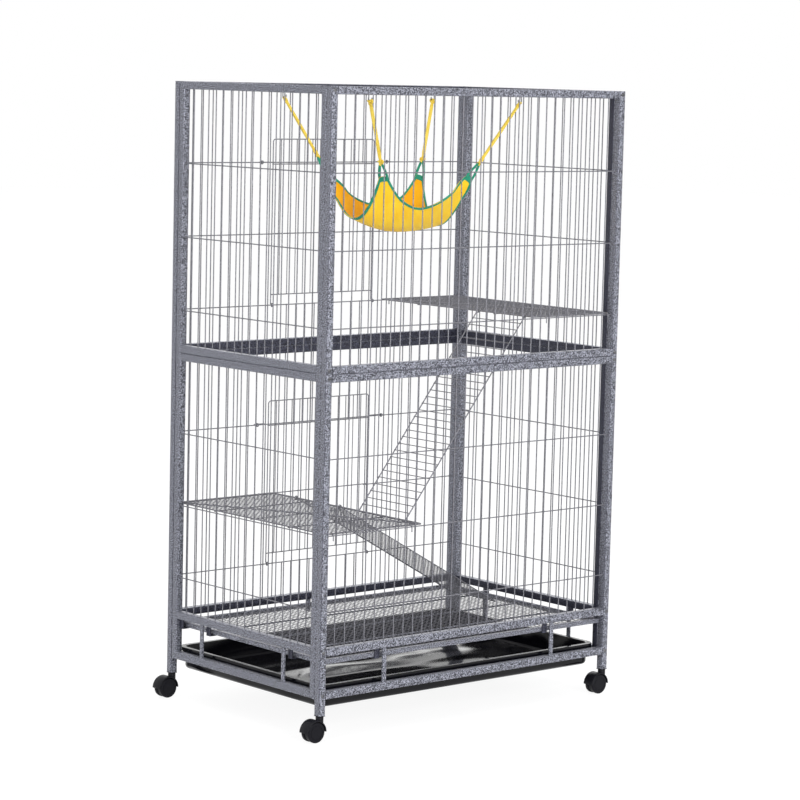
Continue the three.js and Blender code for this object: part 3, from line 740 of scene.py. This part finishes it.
# Shelves and ramps
shelf = {
    "rod": 0.0032,
    "mesh": 0.00115,
    "meshPitch": 0.0115,
    "meshRise": 0.0006,
    "lineY": 0.2439,
    "corner": 0.006,
    "stiffeners": 3,
    "stiffenerDrop": 0.0028,
    "hookReach": 0.2524,
    "hookDrop": 0.013,
    "hookBend": 0.0028,
    "upper": {"length": 0.2235, "x": -0.1615, "z": 0.8210, "turn": 0.0, "hooks": (-0.2093, -0.0301)},
    "lower": {"length": 0.2525, "x": 0.1325, "z": 0.4127, "turn": math.pi, "hooks": (-0.2383, -0.0335)},
}
ramp = {
    "length": 0.515,
    "lineY": 0.0734,
    "rung": 0.0020,
    "rungPitch": 0.0170,
    "meshPitch": 0.0102,
    "mesh": 0.0011,
    "meshRise": 0.0005,
    "meshStart": 0.012,
    "meshInset": 0.004,
    "endInset": 0.0024,
    "rungOver": 0.0012,
    "clearEnd": 0.02,
    "eye": 0.0036,
    "eyeWidth": 0.0016,
    "upper": {"y": 0.145, "slope": 51.9},
    "lower": {"y": -0.090, "slope": 28.9},
}


# Welded mesh: one wire of each direction, repeated, the lower ones lying under the upper
def meshSheet(lowX, highX, lowY, highY, z, pitch, diameter):
    countX = round((highX - lowX) / pitch)
    countY = round((highY - lowY) / pitch)
    stepX, stepY = (highX - lowX) / countX, (highY - lowY) / countY
    below = z - diameter * 0.9
    across = straightWire((lowX + stepX, lowY, z), (lowX + stepX, highY, z), diameter, sides=6)
    along = straightWire((lowX, lowY + stepY, below), (highX, lowY + stepY, below), diameter, sides=6)
    return [repeat(across, countX - 1, (stepX, 0, 0)), repeat(along, countY - 1, (0, stepY, 0))]


def buildShelf(size):
    back, lineY, rod = shelf["rod"] - size["length"], shelf["lineY"], shelf["rod"]
    border = [(back, -lineY, 0), (0, -lineY, 0), (0, lineY, 0), (back, lineY, 0)]
    parts = [bentWire(border, rod, wireCoat, shelf["corner"], True)]
    parts += meshSheet(back, 0, -lineY, lineY, shelf["meshRise"], shelf["meshPitch"], shelf["mesh"])
    under = -shelf["stiffenerDrop"]
    for i in range(shelf["stiffeners"]):
        y = (2 * (i + 1) / (shelf["stiffeners"] + 1) - 1) * lineY
        parts.append(straightWire((back, y, under), (0, y, under), wall["wire"]))
    for x in size["hooks"]:
        for side in (-1, 1):
            reach = side * shelf["hookReach"]
            points = [(x, side * lineY, 0), (x, reach, 0), (x, reach, -shelf["hookDrop"])]
            parts.append(bentWire(points, wall["wire"], wireCoat, shelf["hookBend"]))
    return joined(parts)


def buildRamp(fine):
    lineY, length, rod = ramp["lineY"], ramp["length"], shelf["rod"]
    last, over = length - ramp["endInset"], ramp["rungOver"]
    parts = []
    for side in (-1, 1):
        y, width = side * lineY, side * ramp["eyeWidth"]
        eye = arc((0, y - width, 0), ramp["eye"], 0, -360, 16, "XZ", width)
        parts.append(bentWire([*eye, (length, y, 0)], rod * 0.9, wireCoat))
    parts.append(straightWire((last, -lineY, 0), (last, lineY, 0), wall["wire"]))
    if fine:
        parts += meshSheet(ramp["meshStart"], length - ramp["meshInset"], -lineY, lineY, ramp["meshRise"],
                           ramp["meshPitch"], ramp["mesh"])
        return joined(parts)
    count = int((length - ramp["clearEnd"]) / ramp["rungPitch"])
    first = last - count * ramp["rungPitch"]
    rung = straightWire((first, -lineY - over, over), (first, lineY + over, over), ramp["rung"])
    parts.append(repeat(rung, count, (ramp["rungPitch"], 0, 0)))
    return joined(parts)


def hangShelves():
    for storey in ("upper", "lower"):
        size, place = shelf[storey], ramp[storey]
        piece = moved(buildShelf(size), size["x"], 0, size["z"], size["turn"])
        finished(piece, f"{storey}_shelf_mesh", "cage", [f"{storey}_shelf"])
        slope = math.radians(place["slope"])
        piece = moved(buildRamp(storey == "lower"), size["x"], place["y"], size["z"], size["turn"], slope)
        finished(piece, f"{storey}_ramp_mesh", f"{storey}_ramp", [f"{storey}_ramp"])


hangShelves()
print("stage: shelves and ramps")

# Floor grille, tray and roof
grille = {
    "half": 0.3825,
    "front": -0.247,
    "back": 0.244,
    "foot": 0.152,
    "top": 0.162,
    "bar": 0.008,
    "mesh": 0.0012,
    "meshPitch": 0.0115,
    "meshHeight": 0.1606,
    "stiffener": 0.0034,
    "stiffenerLift": 0.0009,
    "tab": {"x": 0.024, "width": 0.011, "foot": 0.1415, "top": 0.1685, "thickness": 0.0024},
}
tray = {
    "wallX": 0.3734,
    "front": -0.248,
    "back": 0.238,
    "lip": 0.010,
    "foot": 0.062,
    "rim": 0.107,
    "lipFoot": 0.0993,
    "wall": 0.002,
    "corner": 0.022,
    "floorCorner": 0.007,
    "easing": 0.0006,
}
roof = {
    "halfX": 0.3834,
    "halfY": 0.2384,
    "rod": 0.004,
    "corner": 0.006,
    "wireRise": 0.0006,
    "crossY": 0.080,
    "crossDrop": 0.0018,
}


def buildGrille():
    half, front, back, bar = grille["half"], grille["front"], grille["back"], grille["bar"]
    foot, top, mesh = grille["foot"], grille["top"], grille["meshHeight"]
    parts = []
    for low, high in (
        ((-half, front, foot), (half, front + bar, top)),
        ((-half, back - bar, foot), (half, back, top)),
        ((-half, front + bar, foot), (bar - half, back - bar, top)),
        ((half - bar, front + bar, foot), (half, back - bar, top)),
    ):
        parts.append(solidBar(low, high, hammered, 0.0012, 3))
    parts += meshSheet(bar - half, half - bar, front + bar, back - bar, mesh, grille["meshPitch"],
                       grille["mesh"])
    for part in (-1, 0, 1):
        y = part * (back - front) / 4 + (back + front) / 2
        z = mesh - 1.9 * grille["mesh"] - grille["stiffener"] / 2 + grille["stiffenerLift"]
        parts.append(straightWire((bar - half, y, z), (half - bar, y, z), grille["stiffener"], hammered))
    tab = grille["tab"]
    low = (tab["x"] - tab["width"] / 2, front - tab["thickness"], tab["foot"])
    high = (tab["x"] + tab["width"] / 2, front + 0.0006, tab["top"])
    parts.append(solidBar(low, high, hammered, 0.001))
    return joined(parts)


# A vacuum-formed tray: walls drawn up from the floor, the rim turned out and down
def buildTray():
    wallX, foot, rim = tray["wallX"], tray["foot"], tray["rim"]
    front, back = tray["front"] + tray["lip"], tray["back"] - tray["lip"]
    pan = box((-wallX, front, foot), (wallX, back, rim))
    editPart(pan, "EDGE", lambda edge: abs(edgeRun(pan, edge).z) > 0.01)
    bpy.ops.mesh.bevel(offset=tray["corner"], segments=8)
    endEdit()
    editPart(pan, "FACE", lambda face: face.normal.z > 0.9)
    bpy.ops.mesh.delete(type="FACE")
    endEdit()
    editPart(pan, "FACE", lambda face: face.normal.z < -0.9)
    bpy.ops.mesh.bevel(offset=tray["floorCorner"], segments=4)
    endEdit()
    rimTest = rim - 0.0001
    points = pan.data.vertices
    editPart(pan, "EDGE", lambda edge: all(points[i].co.z > rimTest for i in edge.vertices))
    bpy.ops.mesh.extrude_edges_move()
    lip = tray["lip"] - tray["wall"]
    grow = ((wallX + lip) / wallX, (back - front + 2 * lip) / (back - front), 1)
    bpy.ops.transform.resize(value=grow, center_override=(0, (front + back) / 2, rim))
    extrude((0, 0, tray["lipFoot"] - rim))
    endEdit()
    editAll(pan)
    bpy.ops.mesh.normals_make_consistent(inside=False)
    endEdit()
    modify(pan, "SOLIDIFY", thickness=tray["wall"], offset=0)
    easeEdges(pan, tray["easing"])
    return painted(pan, trayPlastic)


def buildRoof():
    lineX, lineY, rod = roof["halfX"] - roof["rod"] / 2, roof["halfY"] - roof["rod"] / 2, roof["rod"]
    border = [(-lineX, -lineY, 0), (lineX, -lineY, 0), (lineX, lineY, 0), (-lineX, lineY, 0)]
    parts = [bentWire(border, rod, wireCoat, roof["corner"], True)]
    first, rise, drop = longPitch - cage["innerX"], roof["wireRise"], -roof["crossDrop"]
    wire = straightWire((first, -lineY, rise), (first, lineY, rise), wall["wire"])
    parts.append(repeat(wire, wall["longGaps"] - 1, (longPitch, 0, 0)))
    for side in (-1, 1):
        y = side * roof["crossY"]
        parts.append(straightWire((-lineX, y, drop), (lineX, y, drop), wall["wire"]))
    return joined(parts)


finished(moved(buildGrille()), "floor_grille_mesh", "floor_grille", ["floor_grille"])
finished(moved(buildTray()), "waste_tray", "tray", ["tray"])
finished(moved(buildRoof(), 0, 0, cage["roof"]), "roof_wires", "cage", ["roof_panel"])
print("stage: floor grille, tray and roof")

# Hammock
hammock = {
    "length": 0.260,
    "width": 0.172,
    "floor": 0.9873,
    "endRise": {1: 0.030, -1: 0.012},  # the two ends hang a little differently
    "sideRise": 0.053,
    "cornerHeight": 0.080,
    "tensionRise": 0.006,
    "tensionSpread": 0.35,
    "endPull": {1: 0.032, -1: 0.17},
    "sidePull": 0.25,
    "cornerShift": {
        (1, 1): (-0.0042, 0.0037, 0.0043),
        (1, -1): (0.0038, -0.0033, -0.0090),
        (-1, 1): (-0.0042, 0.0036, 0.0052),
        (-1, -1): (-0.0010, 0.0010, 0.0),
    },
    "flat": (0.300, 0.250),
    "easing": (0.83, 2.07),
    "tipCut": 0.024,
    "binding": 0.0078,
    "cell": 0.006,
    "cloth": 0.0014,
    "tape": 0.0034,
    "tapeEasing": 0.0008,
    "crease": 0.0010,
}
hanging = {
    "anchor": (0.2048, 0.138),
    "wireHeight": 1.2829,
    "hookDrop": 0.018,
    "hookTop": 0.0033,
    "hookFoot": 0.0045,
    "hookWire": 0.0026,
    "tipShare": 0.935,
    "loops": {"front_left": 0.0380, "front_right": 0.0550, "back_left": 0.0350, "back_right": 0.0350},
    "loopHalf": 0.0082,
    "tape": 0.0058,
    "tapeFlatness": 0.68,
    "strapWidth": 0.0070,
    "strapThickness": 0.0052,
    "strapEasing": 0.0012,
    "strapSteps": 30,
    "eyeRadius": 0.0024,
    "eyeWire": 0.0022,
    "twist": {"front_left": 0, "front_right": -55, "back_left": -55, "back_right": 0},
    "twistReach": 0.055,
    "knot": 0.0058,
    "knotSteps": 36,
}


# The sling: high at the corners, its edges pulled in between them
def clothPoint(u, v):
    end = 1 if u > 0 else -1
    x = hammock["length"] / 2 * u * (1 - hammock["endPull"][end] * (1 - v * v))
    y = hammock["width"] / 2 * v * (1 - hammock["sidePull"] * (1 - u * u))
    offDiagonal = (abs(u) - abs(v)) / hammock["tensionSpread"]
    tension = abs(u * v) * math.exp(-offDiagonal * offDiagonal)
    endRise = hammock["endRise"][end]
    rise = endRise * u * u + hammock["sideRise"] * v * v + (hammock["cornerHeight"] - endRise) * u * u * v * v
    creases = hammock["crease"] * abs(u * v) ** 1.5 * math.sin(16 * (abs(u) - abs(v)))
    place = Vector((x, y, hammock["floor"] + rise + hammock["tensionRise"] * tension + creases))
    for (cornerU, cornerV), shift in hammock["cornerShift"].items():
        place += Vector(shift) * (1 + cornerU * u) * (1 + cornerV * v) / 4 * abs(u * v)
    return place


# The flat cut: blunt corners, the width of the binding marked all round, sliced into small cells
def cutCloth():
    width, length = hammock["flat"]
    bpy.ops.mesh.primitive_plane_add(size=1, location=(0, 0, 0))
    cut = bpy.context.object
    cut.scale = (width, length, 1)
    freeze(cut)
    editAll(cut)
    bpy.ops.mesh.select_mode(type="VERT")
    bpy.ops.mesh.bevel(offset=hammock["tipCut"], segments=1, affect="VERTICES")
    bpy.ops.mesh.select_all(action="SELECT")
    bpy.ops.mesh.inset(thickness=hammock["binding"])
    for axis, span in ((0, width), (1, length)):
        count = round(span / hammock["cell"])
        for i in range(1, count):
            place, normal = [0, 0, 0], [0, 0, 0]
            place[axis] = span * i / count - span / 2
            normal[axis] = 1
            bpy.ops.mesh.select_all(action="SELECT")
            bpy.ops.mesh.bisect(plane_co=place, plane_no=normal)
    endEdit()
    return cut


def inBinding(centre):
    halfX, halfY = hammock["flat"][0] / 2, hammock["flat"][1] / 2
    x, y = abs(centre.x), abs(centre.y)
    corner = (halfX + halfY - hammock["tipCut"] - x - y) / math.sqrt(2)
    return min(halfX - x, halfY - y, corner) < hammock["binding"]


# Where a corner of the cloth ends, where its hook's foot is, and a frame that looks along the strap
def strapFrame(sideX, sideY):
    share = hanging["tipShare"]
    tip = clothPoint(sideX * share, sideY * share)
    foot = hanging["wireHeight"] - hanging["hookDrop"] - hanging["hookFoot"]
    anchor = Vector((sideX * hanging["anchor"][0], sideY * hanging["anchor"][1], foot))
    along = (anchor - tip).normalized()
    across = Vector((-along.y, along.x, 0)).normalized()
    turn = Matrix((across, along.cross(across), along)).transposed().to_4x4()
    return tip, anchor, along, turn


# A corner turns about its strap, most at the tip
def twistAngle(corner, point, tip):
    nearness = max(0, 1 - (point - tip).length / hanging["twistReach"])
    return math.radians(hanging["twist"][corner]) * nearness * nearness * (3 - 2 * nearness)


def hangCloth(cut):
    for vertex in cut.data.vertices:
        share = [2 * vertex.co[axis] / hammock["flat"][axis] for axis in (0, 1)]
        u, v = (math.asinh(k * s) / math.asinh(k) for k, s in zip(hammock["easing"], share))
        vertex.co = clothPoint(u, v)
    for corner, sides in cage["corners"].items():
        tip, _, along, _ = strapFrame(*sides)
        for vertex in cut.data.vertices:
            angle = twistAngle(corner, vertex.co, tip)
            vertex.co = tip + Matrix.Rotation(angle, 3, along) @ (vertex.co - tip)


def buildHammock():
    cloth = cutCloth()
    tape = copied(cloth)
    editPart(tape, "FACE", lambda face: not inBinding(face.center))
    bpy.ops.mesh.delete(type="FACE")
    endEdit()
    hangCloth(cloth)
    hangCloth(tape)
    painted(cloth, innerCloth)
    cloth.data.materials.append(outerCloth)
    modify(cloth, "SOLIDIFY", thickness=hammock["cloth"], offset=0, material_offset=1, material_offset_rim=1)
    modify(tape, "SOLIDIFY", thickness=hammock["tape"], offset=0)
    easeEdges(tape, hammock["tapeEasing"], 60)
    return cloth, painted(tape, bindingTape)


def onStrap(obj, turn, point):
    obj.matrix_world = Matrix.Translation(Vector((middleX, 0, 0)) + point) @ turn
    return freeze(obj)


# A tape loop from one side of the cloth's tip up to the knot and back
def buildLoop(top):
    half = hanging["loopHalf"]
    rise = [(half, -0.006), (half * 0.98, 0.004), (half * 0.72, top * 0.45), (half * 0.36, top * 0.8)]
    points = [(-x, 0, z) for x, z in rise] + [(0, 0, top)] + [(x, 0, z) for x, z in reversed(rise)]
    loop = bentWire(points, hanging["tape"], bindingTape, 0.004)
    editAll(loop)
    bpy.ops.transform.resize(value=(1, hanging["tapeFlatness"], 1), center_override=(0, 0, 0))
    endEdit()
    return loop


# An overhand knot pulled tight, as a trefoil
def buildKnot(height):
    radius, steps, points = hanging["knot"] / 3, hanging["knotSteps"], []
    for i in range(steps):
        t = 2 * math.pi * i / steps
        x = radius * (math.sin(t) + 2 * math.sin(2 * t))
        z = radius * (math.cos(t) - 2 * math.cos(2 * t))
        points.append((x, -1.1 * radius * math.sin(3 * t), z + height))
    return bentWire(points, hanging["strapWidth"] * 0.55, strapWebbing, 0, True)


def buildStrap(length):
    half, thick = hanging["strapWidth"] / 2, hanging["strapThickness"] / 2
    low, high = hanging["knot"] * 0.9, length - hanging["knot"] * 0.6
    strap = solidBar((-half, -thick, low), (half, thick, high), strapWebbing, hanging["strapEasing"], 3)
    editAll(strap)
    steps = hanging["strapSteps"]
    for i in range(1, steps):
        bpy.ops.mesh.select_all(action="SELECT")
        bpy.ops.mesh.bisect(plane_co=(0, 0, low + (high - low) * i / steps), plane_no=(0, 0, 1))
    endEdit()
    for vertex in strap.data.vertices:
        share = (vertex.co.z - low) / (high - low)
        pinch = 1 - 0.45 * math.exp(-((share / 0.06) ** 2)) - 0.45 * math.exp(-(((1 - share) / 0.05) ** 2))
        roll = 0.35 * math.sin(math.pi * share)
        x, y = vertex.co.x * pinch, vertex.co.y / max(pinch, 0.6)
        vertex.co.x = x * math.cos(roll) - y * math.sin(roll)
        vertex.co.y = x * math.sin(roll) + y * math.cos(roll)
    return strap


# An S hook over a roof wire, its foot open for the strap
def buildHook(side):
    top, foot, drop = hanging["hookTop"], hanging["hookFoot"], hanging["hookDrop"]
    points = arc((0, 0, 0), top, -30, 180, 12) + arc((0, 0, -drop), foot, 180, 390, 14)
    points = [(side * x, y, z) for x, y, z in points]
    return bentWire(points, hanging["hookWire"], platedSteel)


def hangHammock():
    cloth, tape = buildHammock()
    loops = [tape]
    for corner, (sideX, sideY) in cage["corners"].items():
        tip, anchor, along, turn = strapFrame(sideX, sideY)
        reach = hanging["loops"][corner]
        twist = Matrix.Rotation(twistAngle(corner, tip, tip), 4, along)
        loops.append(onStrap(buildLoop(reach), twist @ turn, tip))
        knotPlace = tip + along * reach
        length = (anchor - knotPlace).length
        parts = [buildStrap(length), buildKnot(0), buildKnot(length - hanging["knot"] * 0.4)]
        ring = arc((0, 0, length), hanging["eyeRadius"], -90, 270, 12)
        eye = bentWire(ring, hanging["eyeWire"], strapWebbing)
        strap = onStrap(joined([*parts, eye]), turn, knotPlace)
        name = f"hammock_strap_{corner}"
        finished(strap, f"{name}_webbing", "cage", [name], 50)
        x, y = sideX * hanging["anchor"][0], sideY * hanging["anchor"][1]
        hook = moved(buildHook(-sideX), x, y, hanging["wireHeight"])
        finished(hook, f"hammock_hook_{corner}_wire", "cage", [f"hammock_hook_{corner}"])
    for piece in (cloth, tape):
        moved(piece)
    binding = joined(loops)
    finished(binding, "hammock_binding", "cage", [], 50)
    finished(cloth, "hammock_cloth", "cage", ["hammock"], 60)


hangHammock()
print("stage: hammock")

# Casters
caster = {
    "trail": 0.016,
    "axle": 0.02068,
    "wheel": 0.02068,
    "wheelInner": 0.004,
    "wheelOuter": 0.012,
    "axleRadius": 0.003,
    "tyreRounding": 0.0016,
    "hubInset": 0.0045,
    "hubDepth": 0.0009,
    "hoodInner": 0.0220,
    "hoodOuter": 0.0245,
    "hoodHalf": 0.013,
    "webRadius": 0.019,
    "webHalf": 0.0037,
    "boss": 0.008,
    "bossTop": 0.0502,
    "bossHeight": 0.014,
    "bossRounding": 0.0012,
    "gusset": (0.004, 0.0205),
    "hoodSteps": 28,
    "hoodEasing": 0.0008,
}


# A disc across the axle, with rounded rims
def roundDisc(radius, low, high, mat, rounding):
    bpy.ops.mesh.primitive_cylinder_add(vertices=48, radius=radius, depth=high - low,
                                        location=(0, (low + high) / 2, 0), rotation=(math.pi / 2, 0, 0))
    disc = freeze(bpy.context.object)
    editPart(disc, "FACE", lambda face: abs(face.normal.y) > 0.9)
    bpy.ops.mesh.bevel(offset=rounding, segments=3)
    endEdit()
    return painted(disc, mat)


def buildWheels():
    parts = []
    for side in (-1, 1):
        ends = sorted((side * caster["wheelInner"], side * caster["wheelOuter"]))
        wheel = roundDisc(caster["wheel"], *ends, wheelPlastic, caster["tyreRounding"])
        editPart(wheel, "FACE", lambda face: abs(face.normal.y) > 0.9 and len(face.vertices) > 4)
        bpy.ops.mesh.inset(thickness=caster["hubInset"])
        pushFaces(-caster["hubDepth"])
        bpy.ops.mesh.inset(thickness=0.0008)
        pushFaces(caster["hubDepth"] * 0.8)
        endEdit()
        parts.append(wheel)
    axle = caster["wheelInner"] + 0.001
    parts.append(roundDisc(caster["axleRadius"], -axle, axle, wheelPlastic, 0.0003))
    return joined(parts)


def buildHood():
    inner, outer, half = caster["hoodInner"], caster["hoodOuter"], caster["hoodHalf"]
    bpy.ops.mesh.primitive_plane_add(size=1, location=((inner + outer) / 2, 0, 0))
    hood = bpy.context.object
    hood.scale = (outer - inner, 2 * half, 1)
    freeze(hood)
    editAll(hood)
    bpy.ops.mesh.spin(steps=caster["hoodSteps"], angle=math.pi, center=(0, 0, 0), axis=(0, 1, 0))
    bpy.ops.mesh.select_all(action="SELECT")
    bpy.ops.mesh.remove_doubles(threshold=0.00001)
    bpy.ops.mesh.normals_make_consistent(inside=False)
    endEdit()
    easeEdges(hood, caster["hoodEasing"])
    web = roundDisc(caster["webRadius"], -caster["webHalf"], caster["webHalf"], hoodPlastic, 0.0005)
    return painted(hood, hoodPlastic), web


def buildHousing():
    hood, web = buildHood()
    top = caster["bossTop"] - caster["axle"]
    bpy.ops.mesh.primitive_cylinder_add(vertices=32, radius=caster["boss"], depth=caster["bossHeight"],
                                        location=(-caster["trail"], 0, top - caster["bossHeight"] / 2))
    boss = freeze(bpy.context.object)
    editPart(boss, "FACE", lambda face: face.normal.z > 0.9)
    bpy.ops.mesh.bevel(offset=caster["bossRounding"], segments=3)
    endEdit()
    painted(boss, hoodPlastic)
    near, rise = caster["gusset"]
    low, high = (-caster["trail"], -caster["webHalf"], near), (-near, caster["webHalf"], rise)
    gusset = solidBar(low, high, hoodPlastic)
    return joined([hood, web, boss, gusset])


def fitCasters():
    for corner, (sideX, sideY) in cage["corners"].items():
        x, y = sideX * cage["postX"] + caster["trail"], sideY * cage["postY"]
        wheels = moved(buildWheels(), x, y, caster["axle"])
        finished(wheels, f"caster_{corner}_tyres", f"wheels_{corner}",
                 [f"caster_wheels_{corner}"])
        housing = moved(buildHousing(), x, y, caster["axle"])
        finished(housing, f"caster_{corner}_hood", f"caster_{corner}",
                 [f"caster_housing_{corner}"])
        painted(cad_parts[f"caster_stem_{corner}"], hoodPlastic)


fitCasters()
print("stage: casters")

# Room: a pale floor, soft light and a white world
room = {
    "ambient": 0.5,
    "floorGlow": 0.8,
    "glow": 1.13,
    "lamps": {
        "key": ((0.7, 4.4, 1.9), 2.6, 132),
        "fill": ((4.2, 1.0, 1.8), 2.2, 42),
        "top": ((0.0, 0.0, 4.0), 2.6, 45),
        "rear": ((-3.0, -3.2, 2.4), 2.2, 35),
    },
}


# 1 where the camera, a gloss or a clear body looks, 0 for the light that falls on the object
def sightRay(mat):
    path = addNode(mat, "LightPath", {})
    first = arithmetic(mat, "MAXIMUM", path.outputs["Is Camera Ray"], path.outputs["Is Glossy Ray"])
    return arithmetic(mat, "MAXIMUM", first, path.outputs["Is Transmission Ray"])


def buildRoom():
    bpy.ops.mesh.primitive_plane_add(size=40, location=(0, 0, -0.0004))
    floor = bpy.context.object
    floor.name = "floor"
    mat = newMaterial("floorWhite", {"Base Color": (0.86, 0.86, 0.87, 1), "Roughness": 0.7})
    glow = addNode(mat, "Emission", {"Color": (1, 1, 1, 1), "Strength": room["glow"]})
    share = arithmetic(mat, "MULTIPLY", sightRay(mat), room["floorGlow"])
    shader = mat.node_tree.nodes["Principled BSDF"].outputs[0]
    mixed = addNode(mat, "MixShader", {0: share, 1: shader, 2: glow.outputs[0]})
    mat.node_tree.links.new(mixed.outputs[0], mat.node_tree.nodes["Material Output"].inputs["Surface"])
    painted(floor, mat)
    world = bpy.data.worlds.new("studio")
    world.use_nodes = True
    bpy.context.scene.world = world
    sight = sightRay(world)
    ambient = room["ambient"]
    strength = arithmetic(world, "ADD", arithmetic(world, "MULTIPLY", sight, 1 - ambient), ambient)
    background = world.node_tree.nodes["Background"]
    background.inputs["Color"].default_value = (1, 1, 1, 1)
    world.node_tree.links.new(strength, background.inputs["Strength"])
    for name, (place, size, power) in room["lamps"].items():
        data = bpy.data.lights.new(name, "AREA")
        data.size = size
        data.energy = power
        lamp = bpy.data.objects.new(name, data)
        lamp.location = place
        aim = Vector((middleX, 0, 0.6)) - Vector(place)
        lamp.rotation_euler = aim.to_track_quat("-Z", "Y").to_euler()
        bpy.context.scene.collection.objects.link(lamp)


buildRoom()
print("stage: room")
